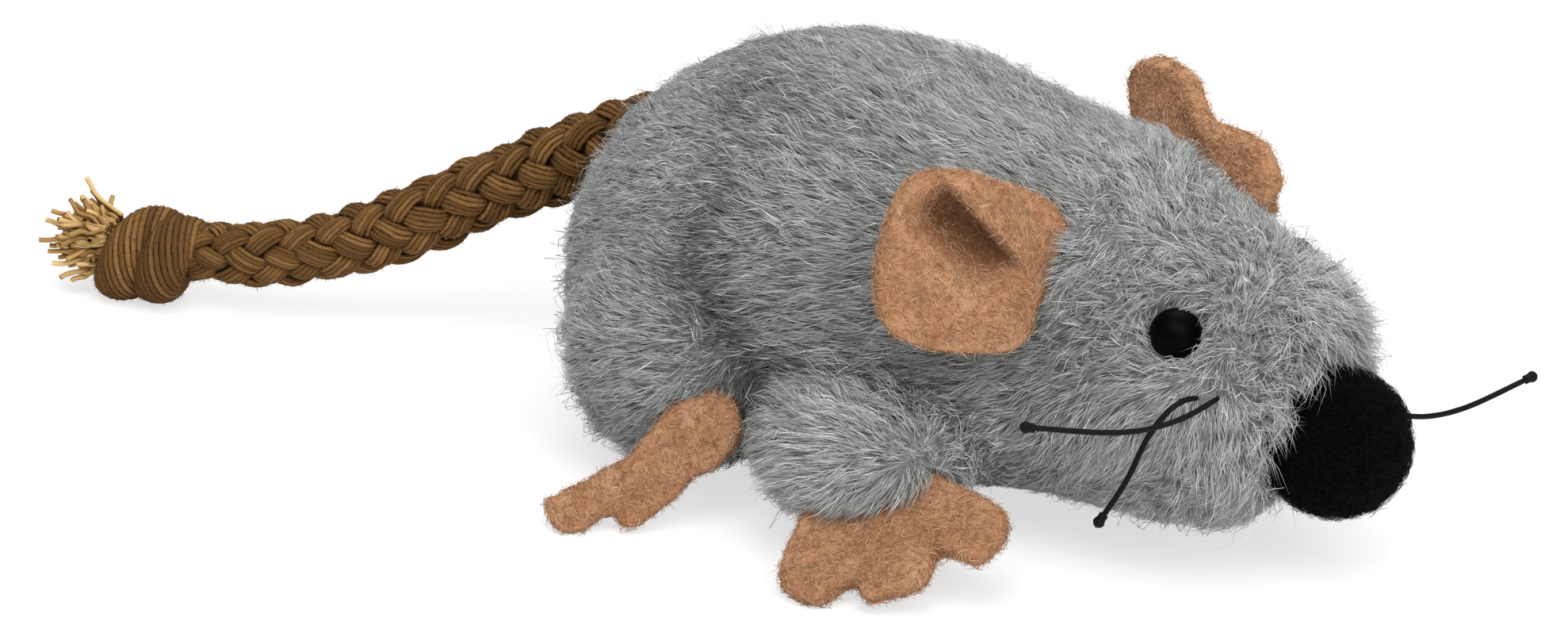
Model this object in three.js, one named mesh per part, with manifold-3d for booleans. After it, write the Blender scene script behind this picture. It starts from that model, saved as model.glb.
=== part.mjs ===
// A catnip mouse for a cat: a stuffed faux-fur body and head that rest on a flat belly, furred thighs
// and arms with felt feet, pleated felt ears, a felt-ball nose, bead eyes, waxed-thread whiskers, and a
// tail of braided cord that ends in a knot and a frayed tuft. A sachet of catnip lies in the filling.
// Millimetres, +X towards the nose, +Y the mouse's left, +Z up. The origin is on the floor, half way
// between the rump and the front of the nose. The fur's outer face is the skin's outer face.

import * as THREE from 'three';
import { mergeVertices } from 'three/addons/utils/BufferGeometryUtils.js';
import Module from 'manifold-3d';

// Fits
const GAP = 0.3; // between pieces that are sewn or glued together
const SKIN = 3.5; // backing cloth and pile of the faux fur
const BELLY_PRESS = 0.5; // how far the floor presses the belly flat

// Body, from the rump to the neck seam
const BODY_LENGTH = 60;
const BODY_FULL_AT = 31; // from the rump to the widest section
const BODY_WIDTH = 41;
const BODY_HEIGHT = 40;
const BODY_WIDE_HEIGHT = 15; // height of the widest line
const RUMP_HEIGHT = 13; // height of the rump's rearmost point
const RUMP_ROUND = { half: 2.3, crown: 2, keel: 2.6 }; // exponents of the rump's outlines
const BELLY_SEAM = 6; // height of the seam round the belly panel

// Neck seam, shared by the body and the head
const NECK_WIDTH = 32;
const NECK_TOP = 37.4;
const NECK_BOTTOM = 3.5;
const NECK_WIDE_HEIGHT = 17;

// Head, from the neck seam to the muzzle
const HEAD_LENGTH = 22.8;
const MUZZLE_HEIGHT = 15;
const HEAD_ROUND = { half: 2.6, crown: 2.7, keel: 3.2 }; // exponents of the head's outlines
const FOREHEAD_DIP = 5.2; // of the crown line below its round outline, half way along the head

// Roundness of a cross-section above and below its widest line: 2 is an ellipse, more is squarer
const SQUARENESS = { above: 2.15, below: 2.5 };

// Felt-ball nose and bead eyes
const NOSE_DIAMETER = 13.7;
const NOSE_HEIGHT = 13.2;
const NOSE_STANDOUT = 6.2; // of the ball, in front of the muzzle
const EYE_DIAMETER = 4.8;
const EYE_AT = 11.1; // from the neck seam
const EYE_ANGLE = 41; // round the head, from its widest line to its crown
const EYE_SINK = 1.6; // of the bead's centre in the fur

// Furred limbs: length along X, width along Y, height along Z, taper towards the nose
const THIGH = { length: 25, width: 19, height: 24, taper: -0.1 };
const THIGH_AT = 21.3; // from the rump
const THIGH_SINK = 3.8; // of its centre in the body's side
const THIGH_LIFT = 0.6; // above the floor
const ARM = { length: 22, width: 20, height: 15.5, taper: -0.08 };
const ARM_AT = 43;
const ARM_SINK = 0.5;
const ARM_LIFT = 2;

// Felt feet: a round palm at the hinge and a fan of toes, by angles in the felt's plane
const FOOT_FELT = 2.2;
const FOOT_EDGE = 0.5; // rounding of the cut felt
const REAR_FOOT = {
  palm: 4.4,
  toeWidth: 4.8,
  toes: [{ angle: -53, length: 17.2 }, { angle: -32, length: 12.2 }],
};
const REAR_FOOT_SEAT = { ahead: 7.2, out: 7.2, yaw: -62, slope: 66, rest: 0.8 };
const FRONT_PAW = {
  palm: 6,
  toeWidth: 6.8,
  toes: [{ angle: -21, length: 13.8 }, { angle: 27, length: 12.8 }, { angle: 75, length: 12.8 }],
};
const FRONT_PAW_SEAT = { ahead: 7, out: 5, yaw: -90, slope: 36, rest: 0.2 };
const FOOT_SWING = 20; // upward flex of a foot, degrees

// Felt ears
const EAR_FELT = 1.8;
const EAR_LENGTH = 15.4;
const EAR_HEIGHT = 16;
const EAR_SHOULDER = 0.62; // height of the upper half at the seam, of its height at the tip
const EAR_CORNER = 0.38; // how round the outline is: 0 square, 0.5 a disc
const EAR_ANGLE = 36; // of the seat round the neck seam
// Ahead of the neck seam, back from straight out, above the seat, felt in the seam, and swing in degrees
const EAR_SETS = {
  left: { ahead: 5, sweep: 78, raise: 5.2, tuck: 3, forwards: 18, backwards: 5 },
  right: { ahead: -0.6, sweep: 48, raise: 1.8, tuck: 2, forwards: 5, backwards: 18 },
};
const EAR_CURL = { forwards: 6, back: 1.6, tip: 0.5, bend: 1.5 }; // lower lobe, top, share at tip, exponent
const EAR_PLEAT = { depth: 3, ridge: 0.6, apex: 0.68, opens: 0.9 }; // ridge in depths, then half lengths
const EAR_RIDGE = { across: -0.12, width: 0.16 }; // of the pleat's ridge, in half lengths
const EAR_HOLLOW = { across: 0.26, width: 0.26 }; // of the hollow below it

// Waxed-thread whiskers, each from a root on the cheek by steps ahead, out and up
const WHISKER_DIAMETER = 0.62;
const WHISKER_ROOTS = {
  front: { at: 17, angle: 22.5 }, rear: { at: 15.4, angle: 20.5 }, farFront: { at: 16, angle: -20 },
};
const WHISKER_STEPS = {
  front: [[0, 0, 0], [-1.4, 4.2, -0.9], [-4.1, 9, -1], [-10, 16.3, 0.8]],
  rear: [[0, 0, 0], [-0.8, 2, 0.2], [-2.2, 4.4, -2.2], [-3.6, 6.2, -6.8], [-5.2, 8, -10.4]],
  farFront: [[0, 0, 0], [2.2, 6.5, -4.3], [4.2, 12, -5.4], [7.6, 19.8, -4.1]],
};

// Braided-cord tail: points of its middle, each behind the rump, to the left, and above the floor
const TAIL_DIAMETER = 7;
const TAIL_ROUTE = [
  [-9.5, 0.6, 26.6], [-4.6, 0.3, 24.4], [0.4, 0, 21.8], [5.8, -0.9, 18.6], [12.3, -3, 15.2],
  [18.5, -5.5, 12.3], [24.7, -8, 9.6], [31, -10.3, 7.6], [36.6, -11.6, 6.7], [39.8, -12.1, 6.1],
];
const TAIL_LIFT_AT = 6; // along the route to the seam that the tail lifts at
const TAIL_SWING_AT = 24; // along the route to the place that it swings at
const TAIL_LIFT = 45; // upward flex, degrees
const KNOT = { length: 10.4, width: 10.4, height: 9.4 };
const KNOT_LIFT = 0.3; // above the floor
const TUFT_LENGTH = 5.4;
const TUFT_DIAMETER = 7.5;
const TUFT_OUTLINE = [[0, 0], [0.6, 0], [0.84, 0.5], [1, 0.85], [0.84, 1], [0, 1]]; // in radii and lengths

// Catnip sachet on the inside of the belly
const SACHET = { length: 26, width: 17, height: 8 };
const SACHET_AT = 30; // from the rump

// Fineness
const RING_SIDES = 24;
const RUMP_RINGS = 7;
const BACK_RINGS = 4;
const HEAD_RINGS = 7;
const POLE_RING = 0.3; // of a ring's step, from a pole to the ring nearest to it
const LIMB_RINGS = 9;
const LIMB_SIDES = 16;
const LIMB_POLE = 4; // degrees from a limb's end to its first ring
const SWING_STEPS = 3;
const BALL_SIDES = 14;
const BALL_ROWS = 10;
const CORD_SIDES = 10;
const CORD_STEPS = 10; // along the whole tail
const THREAD_SIDES = 6;
const THREAD_STEPS = 9;
const TOE_STEPS = 5;
const EAR_GRID = 10;
const MERGE = 1e-4;
const FAR = 200; // longer than the whole mouse

// Roughness of the finishes
const FUZZY = 1;
const CLOTH = 0.9;
const WAXED = 0.5;
const SHINY = 0.3;

// Places that follow from the sizes
const NOSE_RADIUS = NOSE_DIAMETER / 2;
const WHOLE_LENGTH = BODY_LENGTH + HEAD_LENGTH + NOSE_STANDOUT;
const RUMP_X = -WHOLE_LENGTH / 2;
const NECK_X = RUMP_X + BODY_LENGTH;
const NOSE_CENTRE = new THREE.Vector3(NECK_X + HEAD_LENGTH + NOSE_STANDOUT - NOSE_RADIUS, 0, NOSE_HEIGHT);

const FUR = new THREE.Color(0x929594);
const FELT = new THREE.Color(0xcd9870);
const BLACK = new THREE.Color(0x121212);
const CORD = new THREE.Color(0x7d5a37);
const STRAW = new THREE.Color(0xbea064);
const FILL = new THREE.Color(0xf0eee8);
const SACK = new THREE.Color(0x7c8a58);

const wasm = await Module();
wasm.setup();
const radians = THREE.MathUtils.degToRad;
const lerp = THREE.MathUtils.lerp;
const signedPower = (value, exponent) => Math.sign(value) * Math.abs(value) ** exponent;
const roundOff = (reach, exponent) => (1 - Math.min(Math.abs(reach), 1) ** exponent) ** (1 / exponent);

// A closed geometry as a solid that can be cut and joined
function solidOf(geometry) {
  const bare = geometry.clone();
  bare.deleteAttribute('normal');
  bare.deleteAttribute('uv');
  const merged = mergeVertices(bare, MERGE);
  const vertProperties = new Float32Array(merged.attributes.position.array);
  const triVerts = new Uint32Array(merged.index.array);
  return new wasm.Manifold(new wasm.Mesh({ numProp: 3, vertProperties, triVerts }));
}

// A solid as a geometry
function geometryOf(solid) {
  const mesh = solid.getMesh();
  const geometry = new THREE.BufferGeometry();
  geometry.setAttribute('position', new THREE.BufferAttribute(mesh.vertProperties, 3));
  geometry.setIndex(new THREE.BufferAttribute(mesh.triVerts, 1));
  return geometry;
}

// A box between two corners
function boxSolid(low, high) {
  const size = new THREE.Vector3().subVectors(high, low);
  const box = new THREE.BoxGeometry(size.x, size.y, size.z);
  box.translate(low.x + size.x / 2, low.y + size.y / 2, low.z + size.z / 2);
  return solidOf(box);
}

const aboveHeight = (z) => boxSolid(new THREE.Vector3(-FAR, -FAR, z), new THREE.Vector3(FAR, FAR, FAR));
const belowHeight = (z) => boxSolid(new THREE.Vector3(-FAR, -FAR, -FAR), new THREE.Vector3(FAR, FAR, z));
const behindPlane = (x) => boxSolid(new THREE.Vector3(-FAR, -FAR, -FAR), new THREE.Vector3(x, FAR, FAR));
const aheadOfPlane = (x) => boxSolid(new THREE.Vector3(x, -FAR, -FAR), new THREE.Vector3(FAR, FAR, FAR));

// The mouse's left half (side 1) or right half (side -1), clear of the middle by half a gap
function halfSpace(side) {
  const near = side > 0 ? GAP / 2 : -FAR;
  const far = side > 0 ? FAR : -GAP / 2;
  return boxSolid(new THREE.Vector3(-FAR, near, -FAR), new THREE.Vector3(FAR, far, FAR));
}

// A closed loft through rings of equal counts, with a point or a flat disc at each end
function loft(rings) {
  const sides = rings[0].length;
  const points = rings.flat();
  const first = points.length;
  const last = first + 1;
  const faces = [];
  points.push(middleOf(rings[0]), middleOf(rings[rings.length - 1]));
  for (let side = 0; side < sides; side += 1) {
    const next = (side + 1) % sides;
    const end = (rings.length - 1) * sides;
    faces.push(first, next, side, last, end + side, end + next);
    for (let ring = 0; ring + 1 < rings.length; ring += 1) {
      const here = ring * sides;
      const there = here + sides;
      faces.push(here + side, here + next, there + side, there + side, here + next, there + next);
    }
  }
  const geometry = new THREE.BufferGeometry().setFromPoints(points);
  geometry.setIndex(faces);
  return geometry;
}

function middleOf(points) {
  const middle = new THREE.Vector3();
  points.forEach((point) => middle.addScaledVector(point, 1 / points.length));
  return middle;
}

// Sections of the body and head: half width, crown, keel, and the height of the widest line
const bodyFull = (grow) => ({
  half: BODY_WIDTH / 2 + grow,
  crown: BODY_HEIGHT + grow,
  keel: -BELLY_PRESS - grow,
  wide: BODY_WIDE_HEIGHT,
});

const neckSeam = (grow) => ({
  half: NECK_WIDTH / 2 + grow,
  crown: NECK_TOP + grow,
  keel: NECK_BOTTOM - grow,
  wide: NECK_WIDE_HEIGHT,
});

// A section drawn in towards a pole at some height, by the round outlines of its three lines
function drawnIn(section, poleHeight, reach, round) {
  const share = {
    half: roundOff(reach, round.half),
    crown: roundOff(reach, round.crown),
    keel: roundOff(reach, round.keel),
  };
  const wide = lerp(section.wide, poleHeight, Math.abs(reach) ** 2);
  return {
    half: section.half * share.half,
    crown: lerp(poleHeight, section.crown, share.crown),
    keel: lerp(poleHeight, section.keel, share.keel),
    wide,
  };
}

function bodySection(station, grow) {
  if (station < BODY_FULL_AT) {
    const reach = (BODY_FULL_AT - station) / (BODY_FULL_AT + grow);
    return drawnIn(bodyFull(grow), RUMP_HEIGHT, reach, RUMP_ROUND);
  }
  const full = bodyFull(grow);
  const neck = neckSeam(grow);
  const ease = THREE.MathUtils.smoothstep(station, BODY_FULL_AT, BODY_LENGTH);
  return {
    half: lerp(full.half, neck.half, ease),
    crown: lerp(full.crown, neck.crown, ease),
    keel: lerp(full.keel, neck.keel, ease),
    wide: lerp(full.wide, neck.wide, ease),
  };
}

function headSection(station, grow) {
  const reach = Math.max(station, 0) / (HEAD_LENGTH + grow);
  const section = drawnIn(neckSeam(grow), MUZZLE_HEIGHT, reach, HEAD_ROUND);
  section.crown -= FOREHEAD_DIP * 4 * reach * (1 - reach);
  return section;
}

// The point of a section at an angle: 0 on the left, 90 on the crown, 180 on the right
function sectionPoint(section, x, angle) {
  const across = Math.cos(radians(angle));
  const up = Math.sin(radians(angle));
  const rise = up > 0 ? section.crown - section.wide : section.wide - section.keel;
  const squareness = up > 0 ? SQUARENESS.above : SQUARENESS.below;
  const y = section.half * signedPower(across, 2 / squareness);
  return new THREE.Vector3(x, y, section.wide + rise * signedPower(up, 2 / squareness));
}

function sectionRing(section, x) {
  const ring = [];
  for (let side = 0; side < RING_SIDES; side += 1) {
    ring.push(sectionPoint(section, x, (360 * side) / RING_SIDES));
  }
  return ring;
}

const headPoint = (station, angle) => sectionPoint(headSection(station, 0), NECK_X + station, angle);

// The body's form, grown or shrunk, from the rump to past the neck seam by the overrun
function bodyForm(grow, overrun) {
  const stations = [];
  for (let ring = 0; ring <= RUMP_RINGS; ring += 1) {
    const turn = (90 * Math.max(ring, POLE_RING)) / RUMP_RINGS;
    stations.push(BODY_FULL_AT - (BODY_FULL_AT + grow) * Math.cos(radians(turn)));
  }
  for (let ring = 1; ring <= BACK_RINGS; ring += 1) {
    stations.push(lerp(BODY_FULL_AT, BODY_LENGTH, ring / BACK_RINGS));
  }
  const rings = stations.map((station) => sectionRing(bodySection(station, grow), RUMP_X + station));
  rings.push(sectionRing(neckSeam(grow), NECK_X + overrun));
  return loft(rings);
}

// The head's form, grown or shrunk, from before the neck seam by the overrun to the muzzle
function headForm(grow, overrun) {
  const rings = [sectionRing(neckSeam(grow), NECK_X - overrun)];
  for (let ring = 0; ring <= HEAD_RINGS; ring += 1) {
    const turn = (90 * Math.min(ring, HEAD_RINGS - POLE_RING)) / HEAD_RINGS;
    const station = Math.max(GAP, (HEAD_LENGTH + grow) * Math.sin(radians(turn)));
    rings.push(sectionRing(headSection(station, grow), NECK_X + station));
  }
  return loft(rings);
}

// A furred limb: an egg along X that swells and tapers, grown by some thickness
function limbForm(limb, centre, grow) {
  const rings = [];
  for (let ring = 0; ring <= LIMB_RINGS; ring += 1) {
    const turn = radians(lerp(LIMB_POLE, 180 - LIMB_POLE, ring / LIMB_RINGS));
    const along = -Math.cos(turn);
    const swell = Math.sin(turn) * (1 + limb.taper * along);
    const points = [];
    for (let side = 0; side < LIMB_SIDES; side += 1) {
      const angle = radians((360 * side) / LIMB_SIDES);
      points.push(new THREE.Vector3(
        centre.x + (limb.length / 2 + grow) * along,
        centre.y + (limb.width / 2 + grow) * swell * Math.cos(angle),
        centre.z + (limb.height / 2 + grow) * swell * Math.sin(angle),
      ));
    }
    rings.push(points);
  }
  return loft(rings);
}

function thighCentre(side) {
  const half = bodySection(THIGH_AT, 0).half;
  return new THREE.Vector3(RUMP_X + THIGH_AT, side * (half - THIGH_SINK), THIGH_LIFT + THIGH.height / 2);
}

function armCentre(side) {
  const half = bodySection(ARM_AT, 0).half;
  return new THREE.Vector3(RUMP_X + ARM_AT, side * (half - ARM_SINK), ARM_LIFT + ARM.height / 2);
}

// A flat felt pad with round ends, from the hinge along an angle
function padForm(angle, reach, radius) {
  const shape = new THREE.Shape();
  shape.absarc(reach, 0, radius, -Math.PI / 2, Math.PI / 2);
  shape.absarc(0, 0, radius, Math.PI / 2, (3 * Math.PI) / 2);
  const geometry = new THREE.ExtrudeGeometry(shape, {
    depth: FOOT_FELT - 2 * FOOT_EDGE,
    bevelThickness: FOOT_EDGE,
    bevelSize: FOOT_EDGE,
    bevelOffset: -FOOT_EDGE,
    bevelSegments: 1,
    curveSegments: TOE_STEPS,
  });
  geometry.translate(0, 0, FOOT_EDGE - FOOT_FELT / 2);
  geometry.rotateZ(radians(angle));
  return geometry;
}

function footForm(foot) {
  let solid = solidOf(padForm(0, GAP, foot.palm));
  foot.toes.forEach(({ angle, length }) => {
    solid = solid.add(solidOf(padForm(angle, length - foot.toeWidth / 2, foot.toeWidth / 2)));
  });
  return geometryOf(solid);
}

// A frame at a place, whose first axis points outwards at a yaw and down a slope
function slopedFrame(place, yaw, slope) {
  const ahead = new THREE.Vector3(
    Math.cos(radians(yaw)) * Math.cos(radians(slope)),
    Math.sin(radians(yaw)) * Math.cos(radians(slope)),
    -Math.sin(radians(slope)),
  );
  const across = new THREE.Vector3(-Math.sin(radians(yaw)), Math.cos(radians(yaw)), 0);
  const up = new THREE.Vector3().crossVectors(ahead, across);
  return new THREE.Matrix4().makeBasis(ahead, across, up).setPosition(place);
}

// A geometry seen in a mirror on the middle plane
function mirrored(geometry) {
  const copy = geometry.clone();
  copy.scale(1, -1, 1);
  const index = copy.index.array;
  const faces = [];
  for (let corner = 0; corner < index.length; corner += 3) {
    faces.push(index[corner], index[corner + 2], index[corner + 1]);
  }
  copy.setIndex(faces);
  return copy;
}

// A geometry turned about a line through a place
function turnedAbout(geometry, place, axis, angle) {
  const copy = geometry.clone();
  copy.translate(-place.x, -place.y, -place.z);
  copy.applyMatrix4(new THREE.Matrix4().makeRotationAxis(axis, radians(angle)));
  copy.translate(place.x, place.y, place.z);
  return copy;
}

// A flexing piece cut back from its neighbours everywhere between two angles about its hinge
function cutForSwing(piece, neighbours, hinge, least, most) {
  let solid = solidOf(piece);
  for (let step = 0; step <= SWING_STEPS; step += 1) {
    const angle = lerp(least, most, step / SWING_STEPS);
    neighbours.forEach((neighbour) => {
      solid = solid.subtract(solidOf(turnedAbout(neighbour, hinge.place, hinge.axis, -angle)));
    });
  }
  return geometryOf(solid);
}

// A cord or thread along a curve
function cordForm(curve, diameter, sides, steps) {
  const section = new THREE.Shape();
  for (let side = 0; side < sides; side += 1) {
    const angle = (2 * Math.PI * side) / sides;
    const point = [(diameter / 2) * Math.cos(angle), (diameter / 2) * Math.sin(angle)];
    if (side === 0) section.moveTo(...point);
    else section.lineTo(...point);
  }
  section.closePath();
  return new THREE.ExtrudeGeometry(section, { extrudePath: curve, steps, bevelEnabled: false });
}

// A stretch of a curve between two shares of its length
function stretchOf(curve, from, to, count) {
  const points = [];
  for (let step = 0; step <= count; step += 1) {
    points.push(curve.getPointAt(lerp(from, to, step / count)));
  }
  return new THREE.CatmullRomCurve3(points);
}

const root = new THREE.Group();

function addPiece(name, geometry, color, roughness) {
  const material = new THREE.MeshStandardMaterial({ color, roughness, metalness: 0 });
  const mesh = new THREE.Mesh(geometry, material);
  mesh.name = name;
  root.add(mesh);
}

// Names of the two sides
const SIDES = [{ side: 1, word: 'left' }, { side: -1, word: 'right' }];

// The tail's route, and the shares of its length where it lifts and swings
const tailCurve = new THREE.CatmullRomCurve3(
  TAIL_ROUTE.map(([behind, left, up]) => new THREE.Vector3(RUMP_X - behind, left, up)),
);
const tailLength = tailCurve.getLength();
const liftShare = TAIL_LIFT_AT / tailLength;
const swingShare = TAIL_SWING_AT / tailLength;
const gapShare = GAP / tailLength;
const ballShare = (TAIL_DIAMETER / 2 + GAP) / tailLength;
const liftHinge = { place: tailCurve.getPointAt(liftShare), axis: new THREE.Vector3(0, 1, 0) };

// A stretch of the tail's cord, grown by some thickness, with a ball at its start where it turns
function tailStretch(from, to, grow, roundStart) {
  const steps = Math.max(2, Math.round((to - from) * CORD_STEPS));
  const middle = stretchOf(tailCurve, from, to, steps + 2);
  const cord = solidOf(cordForm(middle, TAIL_DIAMETER + 2 * grow, CORD_SIDES, steps));
  if (!roundStart) return geometryOf(cord);
  const ball = ballForm(tailCurve.getPointAt(from), TAIL_DIAMETER / 2 + grow);
  return geometryOf(cord.add(solidOf(ball)));
}

// The room in the rump that the tail takes up, from its rest to its highest
function tailRoom() {
  let room = solidOf(tailStretch(0, liftShare, GAP, false));
  const base = tailStretch(liftShare, swingShare - ballShare, GAP, true);
  for (let step = 0; step <= SWING_STEPS; step += 1) {
    const angle = (TAIL_LIFT * step) / SWING_STEPS;
    room = room.add(solidOf(turnedAbout(base, liftHinge.place, liftHinge.axis, angle)));
  }
  return room;
}

// A ball round a centre
function ballForm(centre, radius) {
  const ball = new THREE.SphereGeometry(radius, BALL_SIDES, BALL_ROWS);
  ball.translate(centre.x, centre.y, centre.z);
  return ball;
}

function eyeCentre(side) {
  const onFur = headPoint(EYE_AT, EYE_ANGLE);
  const inside = new THREE.Vector3(NECK_X + EYE_AT, 0, headSection(EYE_AT, 0).wide);
  const inwards = new THREE.Vector3().subVectors(inside, onFur).normalize();
  onFur.addScaledVector(inwards, EYE_SINK);
  return new THREE.Vector3(onFur.x, side * onFur.y, onFur.z);
}

const noseForm = (grow) => ballForm(NOSE_CENTRE, NOSE_RADIUS + grow);
const eyeForm = (side, grow) => ballForm(eyeCentre(side), EYE_DIAMETER / 2 + grow);

// Body skin: a left and a right panel above the belly panel, with a hole for the tail
const tailHole = tailRoom();
const bodySkin = solidOf(bodyForm(0, 0))
  .intersect(aboveHeight(0))
  .subtract(solidOf(bodyForm(-SKIN, SKIN)))
  .subtract(tailHole);
SIDES.forEach(({ side, word }) => {
  const panel = bodySkin.intersect(halfSpace(side)).intersect(aboveHeight(BELLY_SEAM + GAP / 2));
  addPiece(`body_skin_${word}`, geometryOf(panel), FUR, CLOTH);
});
addPiece('belly_panel', geometryOf(bodySkin.intersect(belowHeight(BELLY_SEAM - GAP / 2))), FUR, CLOTH);

// Filling of the body, with a pocket for the sachet that opens on the belly
const sachetFloor = SKIN - BELLY_PRESS + GAP;
const sachetX = RUMP_X + SACHET_AT;
const pocketLength = SACHET.length + 2 * GAP;
const pocketWidth = SACHET.width + 2 * GAP;
const pocketTop = sachetFloor + SACHET.height + GAP;
const pocket = boxSolid(
  new THREE.Vector3(sachetX - pocketLength / 2, -pocketWidth / 2, -FAR),
  new THREE.Vector3(sachetX + pocketLength / 2, pocketWidth / 2, pocketTop),
);
const bodyFilling = solidOf(bodyForm(-SKIN - GAP, SKIN))
  .intersect(behindPlane(NECK_X - GAP / 2))
  .subtract(pocket)
  .subtract(tailHole);
addPiece('body_filling', geometryOf(bodyFilling), FILL, FUZZY);

const sachetCentre = new THREE.Vector3(sachetX, 0, sachetFloor + SACHET.height / 2);
addPiece('catnip_sachet', limbForm({ ...SACHET, taper: 0 }, sachetCentre, 0), SACK, CLOTH);

// Head skin: a left and a right panel round the nose and the eyes
const faceCuts = [noseForm(GAP), eyeForm(1, GAP), eyeForm(-1, GAP)].map(solidOf);
const withoutFace = (solid) => faceCuts.reduce((rest, cut) => rest.subtract(cut), solid);
const headSkin = withoutFace(
  solidOf(headForm(0, 0)).intersect(aheadOfPlane(NECK_X + GAP)).subtract(solidOf(headForm(-SKIN, SKIN))),
);
SIDES.forEach(({ side, word }) => {
  addPiece(`head_skin_${word}`, geometryOf(headSkin.intersect(halfSpace(side))), FUR, CLOTH);
});
const headFilling = withoutFace(
  solidOf(headForm(-SKIN - GAP, SKIN)).intersect(aheadOfPlane(NECK_X + GAP / 2)),
);
addPiece('head_filling', geometryOf(headFilling), FILL, FUZZY);

addPiece('nose_ball', noseForm(0), BLACK, FUZZY);
SIDES.forEach(({ side, word }) => addPiece(`eye_${word}`, eyeForm(side, 0), BLACK, SHINY));

// Thighs and arms, cut by the body and the head
const bodyClear = solidOf(bodyForm(GAP, GAP));
const headClear = solidOf(headForm(GAP, GAP));
SIDES.forEach(({ side, word }) => {
  const thigh = solidOf(limbForm(THIGH, thighCentre(side), 0)).subtract(bodyClear);
  const arm = solidOf(limbForm(ARM, armCentre(side), 0)).subtract(bodyClear).subtract(headClear);
  addPiece(`thigh_${word}`, geometryOf(thigh), FUR, CLOTH);
  addPiece(`arm_${word}`, geometryOf(arm), FUR, CLOTH);
});

// Felt feet of the right side, and their mirror images
function footPiece(foot, seat, limbCentre) {
  const place = new THREE.Vector3(limbCentre.x + seat.ahead, limbCentre.y - seat.out, 0);
  const falls = foot.toes.map(({ angle, length }) => length * Math.cos(radians(angle)));
  const reach = Math.max(...falls) * Math.sin(radians(seat.slope));
  place.z = seat.rest + reach + (FOOT_FELT / 2) * Math.cos(radians(seat.slope));
  const frame = slopedFrame(place, seat.yaw, seat.slope);
  const felt = footForm(foot).applyMatrix4(frame);
  const axis = new THREE.Vector3().setFromMatrixColumn(frame, 1).negate();
  const neighbours = [bodyForm(GAP, GAP), headForm(GAP, GAP)];
  neighbours.push(limbForm(THIGH, thighCentre(-1), GAP), limbForm(ARM, armCentre(-1), GAP));
  return cutForSwing(felt, neighbours, { place, axis }, 0, FOOT_SWING);
}

const rearFoot = footPiece(REAR_FOOT, REAR_FOOT_SEAT, thighCentre(-1));
const frontPaw = footPiece(FRONT_PAW, FRONT_PAW_SEAT, armCentre(-1));
addPiece('rear_foot_right', rearFoot, FELT, FUZZY);
addPiece('rear_foot_left', mirrored(rearFoot), FELT, FUZZY);
addPiece('front_paw_right', frontPaw, FELT, FUZZY);
addPiece('front_paw_left', mirrored(frontPaw), FELT, FUZZY);

// Height of the ear's felt off its plane, from -1 to 1 outwards and upwards: the lower lobe curls forwards,
// and a pleat opens from the seam to the top rim
function earRelief(outwards, upwards) {
  const low = (1 - upwards) / 2;
  const fade = lerp(1, EAR_CURL.tip, (outwards + 1) / 2);
  const curl = EAR_CURL.forwards * fade * low ** EAR_CURL.bend - EAR_CURL.back;
  const along = (outwards + EAR_PLEAT.apex + upwards) / Math.SQRT2;
  const across = (outwards + EAR_PLEAT.apex - upwards) / Math.SQRT2;
  const ridge = Math.exp(-(((across - EAR_RIDGE.across) / EAR_RIDGE.width) ** 2));
  const hollow = Math.exp(-(((across - EAR_HOLLOW.across) / EAR_HOLLOW.width) ** 2));
  const opening = THREE.MathUtils.clamp(along / EAR_PLEAT.opens, 0, 1);
  return curl + EAR_PLEAT.depth * opening * (EAR_PLEAT.ridge * ridge - hollow);
}

// A felt sheet over a square grid of points, between its front and back faces a lift apart
function sheetForm(pointAt, count, lift) {
  const step = 2 / count;
  const front = [];
  const back = [];
  for (let row = 0; row <= count; row += 1) {
    for (let column = 0; column <= count; column += 1) {
      const here = pointAt(-1 + step * column, -1 + step * row);
      front.push(here.clone().addScaledVector(lift, 0.5));
      back.push(here.clone().addScaledVector(lift, -0.5));
    }
  }
  const width = count + 1;
  const other = front.length;
  const faces = [];
  for (let row = 0; row < count; row += 1) {
    for (let column = 0; column < count; column += 1) {
      const a = row * width + column;
      const b = a + 1;
      const c = a + width;
      const d = c + 1;
      faces.push(a, b, d, a, d, c);
      faces.push(other + a, other + d, other + b, other + a, other + c, other + d);
    }
  }
  const rim = [];
  for (let column = 0; column < count; column += 1) rim.push(column);
  for (let row = 0; row < count; row += 1) rim.push(row * width + count);
  for (let column = count; column > 0; column -= 1) rim.push(count * width + column);
  for (let row = count; row > 0; row -= 1) rim.push(row * width);
  rim.forEach((here, place) => {
    const next = rim[(place + 1) % rim.length];
    faces.push(here, other + here, next, next, other + here, other + next);
  });
  const geometry = new THREE.BufferGeometry().setFromPoints([...front, ...back]);
  geometry.setIndex(faces);
  return geometry;
}

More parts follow.
